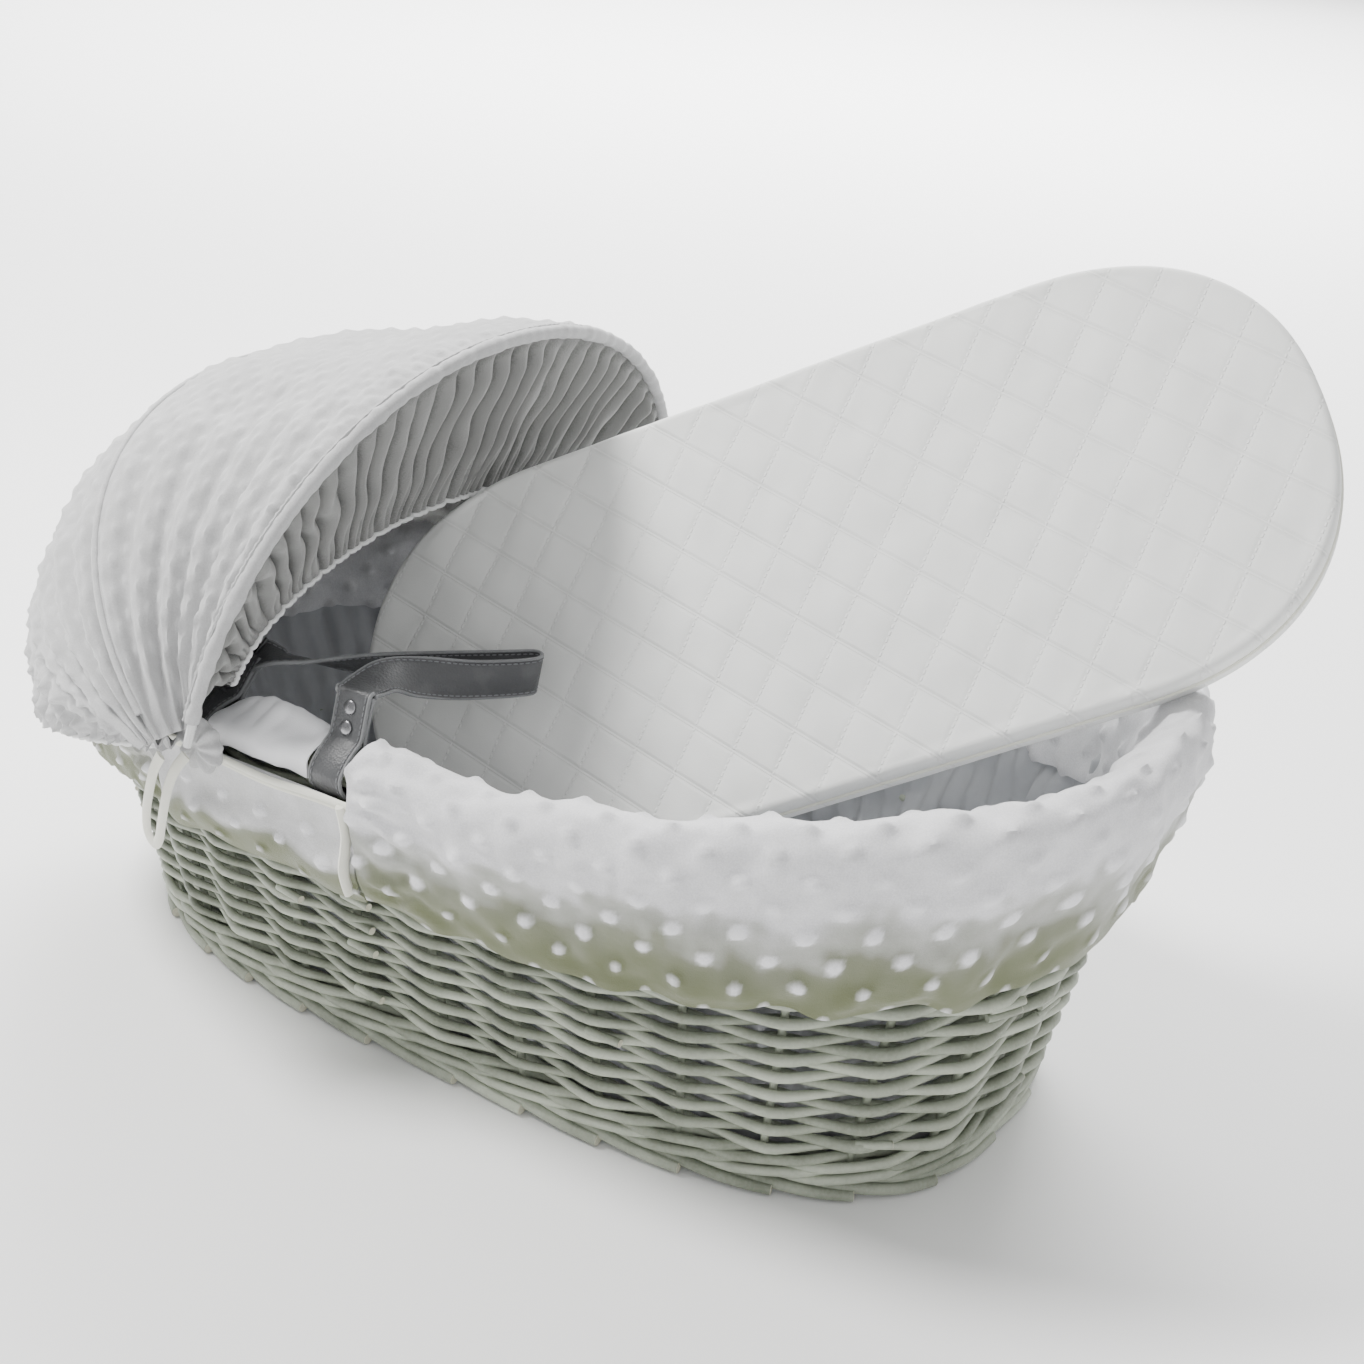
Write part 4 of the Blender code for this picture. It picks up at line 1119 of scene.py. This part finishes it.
def quilt_height(x, y):
    """Height of the quilted face: each diamond is a pillow between its lines of stitches."""
    share = 1.0
    for turn in CELL_TURNS:
        across = (x * math.sin(math.radians(turn)) + y * math.cos(math.radians(turn))) / CELL
        share = share * np.abs(np.sin(math.pi * across)) ** 0.45
    creases = 0.0005 * ripple(91, x, y, 0.028) + 0.0012 * ripple(92, x, y, 0.10)
    return PILLOW * (share - 1) + creases


def quilt_finish():
    """Cotton with a groove along each line of quilting, darker in the grooves as painted shade, and stitches in
    it.
    """
    back = mattress_seat().inverted().to_3x3().transposed()
    made = Finish("quilted cotton", 0.85, (("Sheen Weight", 0.2), ("Specular IOR Level", 0.2)))

    def off_line(direction, step, low, high):
        """1 on lines square to a direction of the mattress, a step apart, and 0 beyond them."""
        way = back @ Vector((*direction, 0.0)) / step
        dot = made.node("VectorMath", ((0, made.place), (1, tuple(way))), operation="DOT_PRODUCT")
        shift = 0.5 - Vector(MATTRESS_TOP_CENTRE).dot(way)
        place = made.calc("FRACT", made.calc("ADD", dot.outputs["Value"], shift))
        return made.spread(made.calc("ABSOLUTE", made.calc("SUBTRACT", place, 0.5)), high, low)

    grooves, stitches = [], []
    for turn in CELL_TURNS:
        lean = math.radians(turn)
        across = (math.sin(lean), math.cos(lean))
        grooves.append(off_line(across, CELL, 0.005, 0.085))
        stitches.append(off_line(across, CELL, 0.010, 0.026))
    dashes = off_line((math.cos(lean), -math.sin(lean)), DASH, 0.24, 0.34)
    deep = made.calc("MAXIMUM", grooves[0], made.calc("MULTIPLY", grooves[1], 0.35))
    sewn = made.calc("MAXIMUM", stitches[0], made.calc("MULTIPLY", stitches[1], dashes))
    # Painted shade in the quilting grooves, mixed with random mottling of the cloth.
    groove_shade_and_mottle = made.sum((deep, 0.42), (made.noise(90, 3), 0.25), (1.0, -0.08))
    cloth = made.mix(groove_shade_and_mottle, (0.83, 0.84, 0.82), (0.69, 0.70, 0.68))
    made.colour(made.mix(sewn, cloth, (0.88, 0.885, 0.87)))
    height = made.sum((deep, -0.8), (sewn, 0.45), (made.noise(1100, 1), 0.10), (made.noise(46, 3), 0.5))
    made.bump(height, 0.0011, 0.85)
    return made.material


def make_mattress():
    """The quilted cover over the foam, two faces and a rounded edge, with the tape along its seam."""
    seat = np.array(mattress_seat())
    edge = MATTRESS_EDGE

    def placed(points):
        return points @ seat[:3, :3].T + seat[:3, 3]

    rows, cols = 128, 260
    v = np.sin(np.linspace(-0.5, 0.5, rows) * math.pi)[:, None]
    half_x = MATTRESS_HALF[0] - MATTRESS_STRAIGHT - edge
    half_y = MATTRESS_HALF[1] - edge
    reach = MATTRESS_STRAIGHT + half_x * (1 - np.abs(v) ** MATTRESS_POWER) ** (1 / MATTRESS_POWER)
    x = reach * np.linspace(-1, 1, cols)[None, :]
    y = half_y * v + 0 * x
    inside = ramp(1 - np.maximum(np.abs(x) / reach, np.abs(v)), 0.0, 0.05)
    lines = quilt_height(x, y) * (0.35 + 0.65 * inside)
    pile = Pile()
    top = np.stack([x, y, 0.0012 + lines], axis=-1)
    base = np.stack([x, y, -MATTRESS_THICK - 0.0012 - lines], axis=-1)
    border = border_of(rows, cols)
    pile.grid(placed(top))
    pile.grid(placed(base))
    ring = np.array([top[i, j] for i, j in border])
    low_ring = np.array([base[i, j] for i, j in border])
    way = unit(np.roll(ring, -1, 0) - np.roll(ring, 1, 0)) * (1, 1, 0)
    out = unit(np.cross(way, Z_AXIS))
    if (out * ring).sum(axis=1).mean() < 0:
        out = -out
    out = unit(np.roll(out, 1, 0) + out + np.roll(out, -1, 0))
    start = pile.count
    middle = -MATTRESS_THICK / 2
    leans = [math.radians(a) for a in (18, 36, 54, 72)]
    loops = [(edge * math.sin(a), edge * (1 - math.cos(a))) for a in leans]
    loops += [(edge, 0.010), (edge - 0.0004, -middle - 0.0016), (edge - 0.0016, -middle)]
    count = len(border)
    rings = [ring + out * o + np.array((0, 0, -d)) for o, d in loops]
    rings += [low_ring + out * o + np.array((0, 0, d)) for o, d in loops[-2::-1]]
    for one in rings:
        pile.add(placed(one), [])
    top_ids = [i * cols + j for i, j in border]
    base_ids = [rows * cols + i for i in top_ids]
    ring_ids = [list(range(start + k * count, start + (k + 1) * count)) for k in range(len(rings))]
    levels = [top_ids] + ring_ids + [base_ids]
    for upper, lower in zip(levels, levels[1:]):
        for a in range(count):
            b = (a + 1) % count
            pile.faces.append((upper[a], upper[b], lower[b], lower[a]))
            pile.slots.append(0)
    stands_for = ["mattress_cover_top", "mattress_cover_base", "mattress_foam"]
    quilt = pile.piece("quilted_cover", [quilt_finish()], "mattress", "quilted_cotton", stands_for, sharp=70)

    tape = Pile()
    line = ring[::2] * (1, 1, 0) + out[::2] * (edge - 0.0006) + np.array((0, 0, middle))
    tape.tube(placed(line), 0.0016, ring=True, hint=tuple(seat[:3, 2]))
    tape.piece("seam_tape", [BINDING], "mattress", "ivory_binding", ["mattress_seam_piping"])


make_mattress()


# ---- floor, light and camera ----

FLOOR_HALF = 60


def make_stage():
    pile = Pile()
    half = FLOOR_HALF
    pile.add([(-half, -half, 0), (half, -half, 0), (half, half, 0), (-half, half, 0)], [(0, 1, 2, 3)])
    paper = Finish("studio floor", 0.95, (("Base Color", (0.94, 0.94, 0.94)), ("Specular IOR Level", 0.1)))
    floor = pile.piece("floor", [paper.material], body=None)


def make_lamp(name, spot, aim, size, power, dot_highlight_and_shade=(1, 1, 1)):
    lamp = bpy.data.lights.new(name, "AREA")
    lamp.shape = "DISK"
    lamp.size, lamp.energy, lamp.color = size, power, dot_highlight_and_shade
    made = bpy.data.objects.new(name, lamp)
    made.location = spot
    made.rotation_euler = (Vector(aim) - Vector(spot)).to_track_quat("-Z", "Y").to_euler()
    bpy.context.scene.collection.objects.link(made)


def make_light():
    world = bpy.data.worlds.new("studio")
    world.use_nodes = True
    sky = world.node_tree.nodes["Background"]
    sky.inputs["Color"].default_value = (1, 1, 1, 1)
    sky.inputs["Strength"].default_value = 0.66
    bpy.context.scene.world = world
    aim = (0.0, 0.0, 0.2)
    make_lamp("key", (-1.4, -0.7, 2.4), aim, 0.8, 124, (1.0, 0.99, 0.975))
    make_lamp("fill", (1.5, -1.9, 1.1), aim, 1.4, 9, (0.98, 0.99, 1.0))
    make_lamp("back", (0.8, 2.0, 2.2), aim, 1.6, 16)
    make_lamp("backdrop", (-5.5, 9.0, 6.5), (-5.5, 9.5, 0.0), 10.0, 3200)
    make_lamp("floor wash", (-2.2, 4.6, 3.4), (-2.6, 4.8, 0.0), 5.0, 560)


def make_camera():
    """The camera: its columns are its right, up and back ways, and its place."""
    lens = bpy.data.cameras.new("camera")
    lens.lens, lens.sensor_width, lens.shift_x = 51.09, 36.0, -0.0694
    eye = bpy.data.objects.new("camera", lens)
    columns = (
        (0.84967, 0.52264, 0.07003, 0), (-0.26132, 0.30200, 0.91679, 0), (0.45800, -0.79727, 0.39318, 0),
        (0.7474, -1.0364, 0.7889, 1),
    )
    eye.matrix_world = Matrix(columns).transposed()
    bpy.context.scene.collection.objects.link(eye)
    bpy.context.scene.camera = eye


make_stage()
make_light()
make_camera()
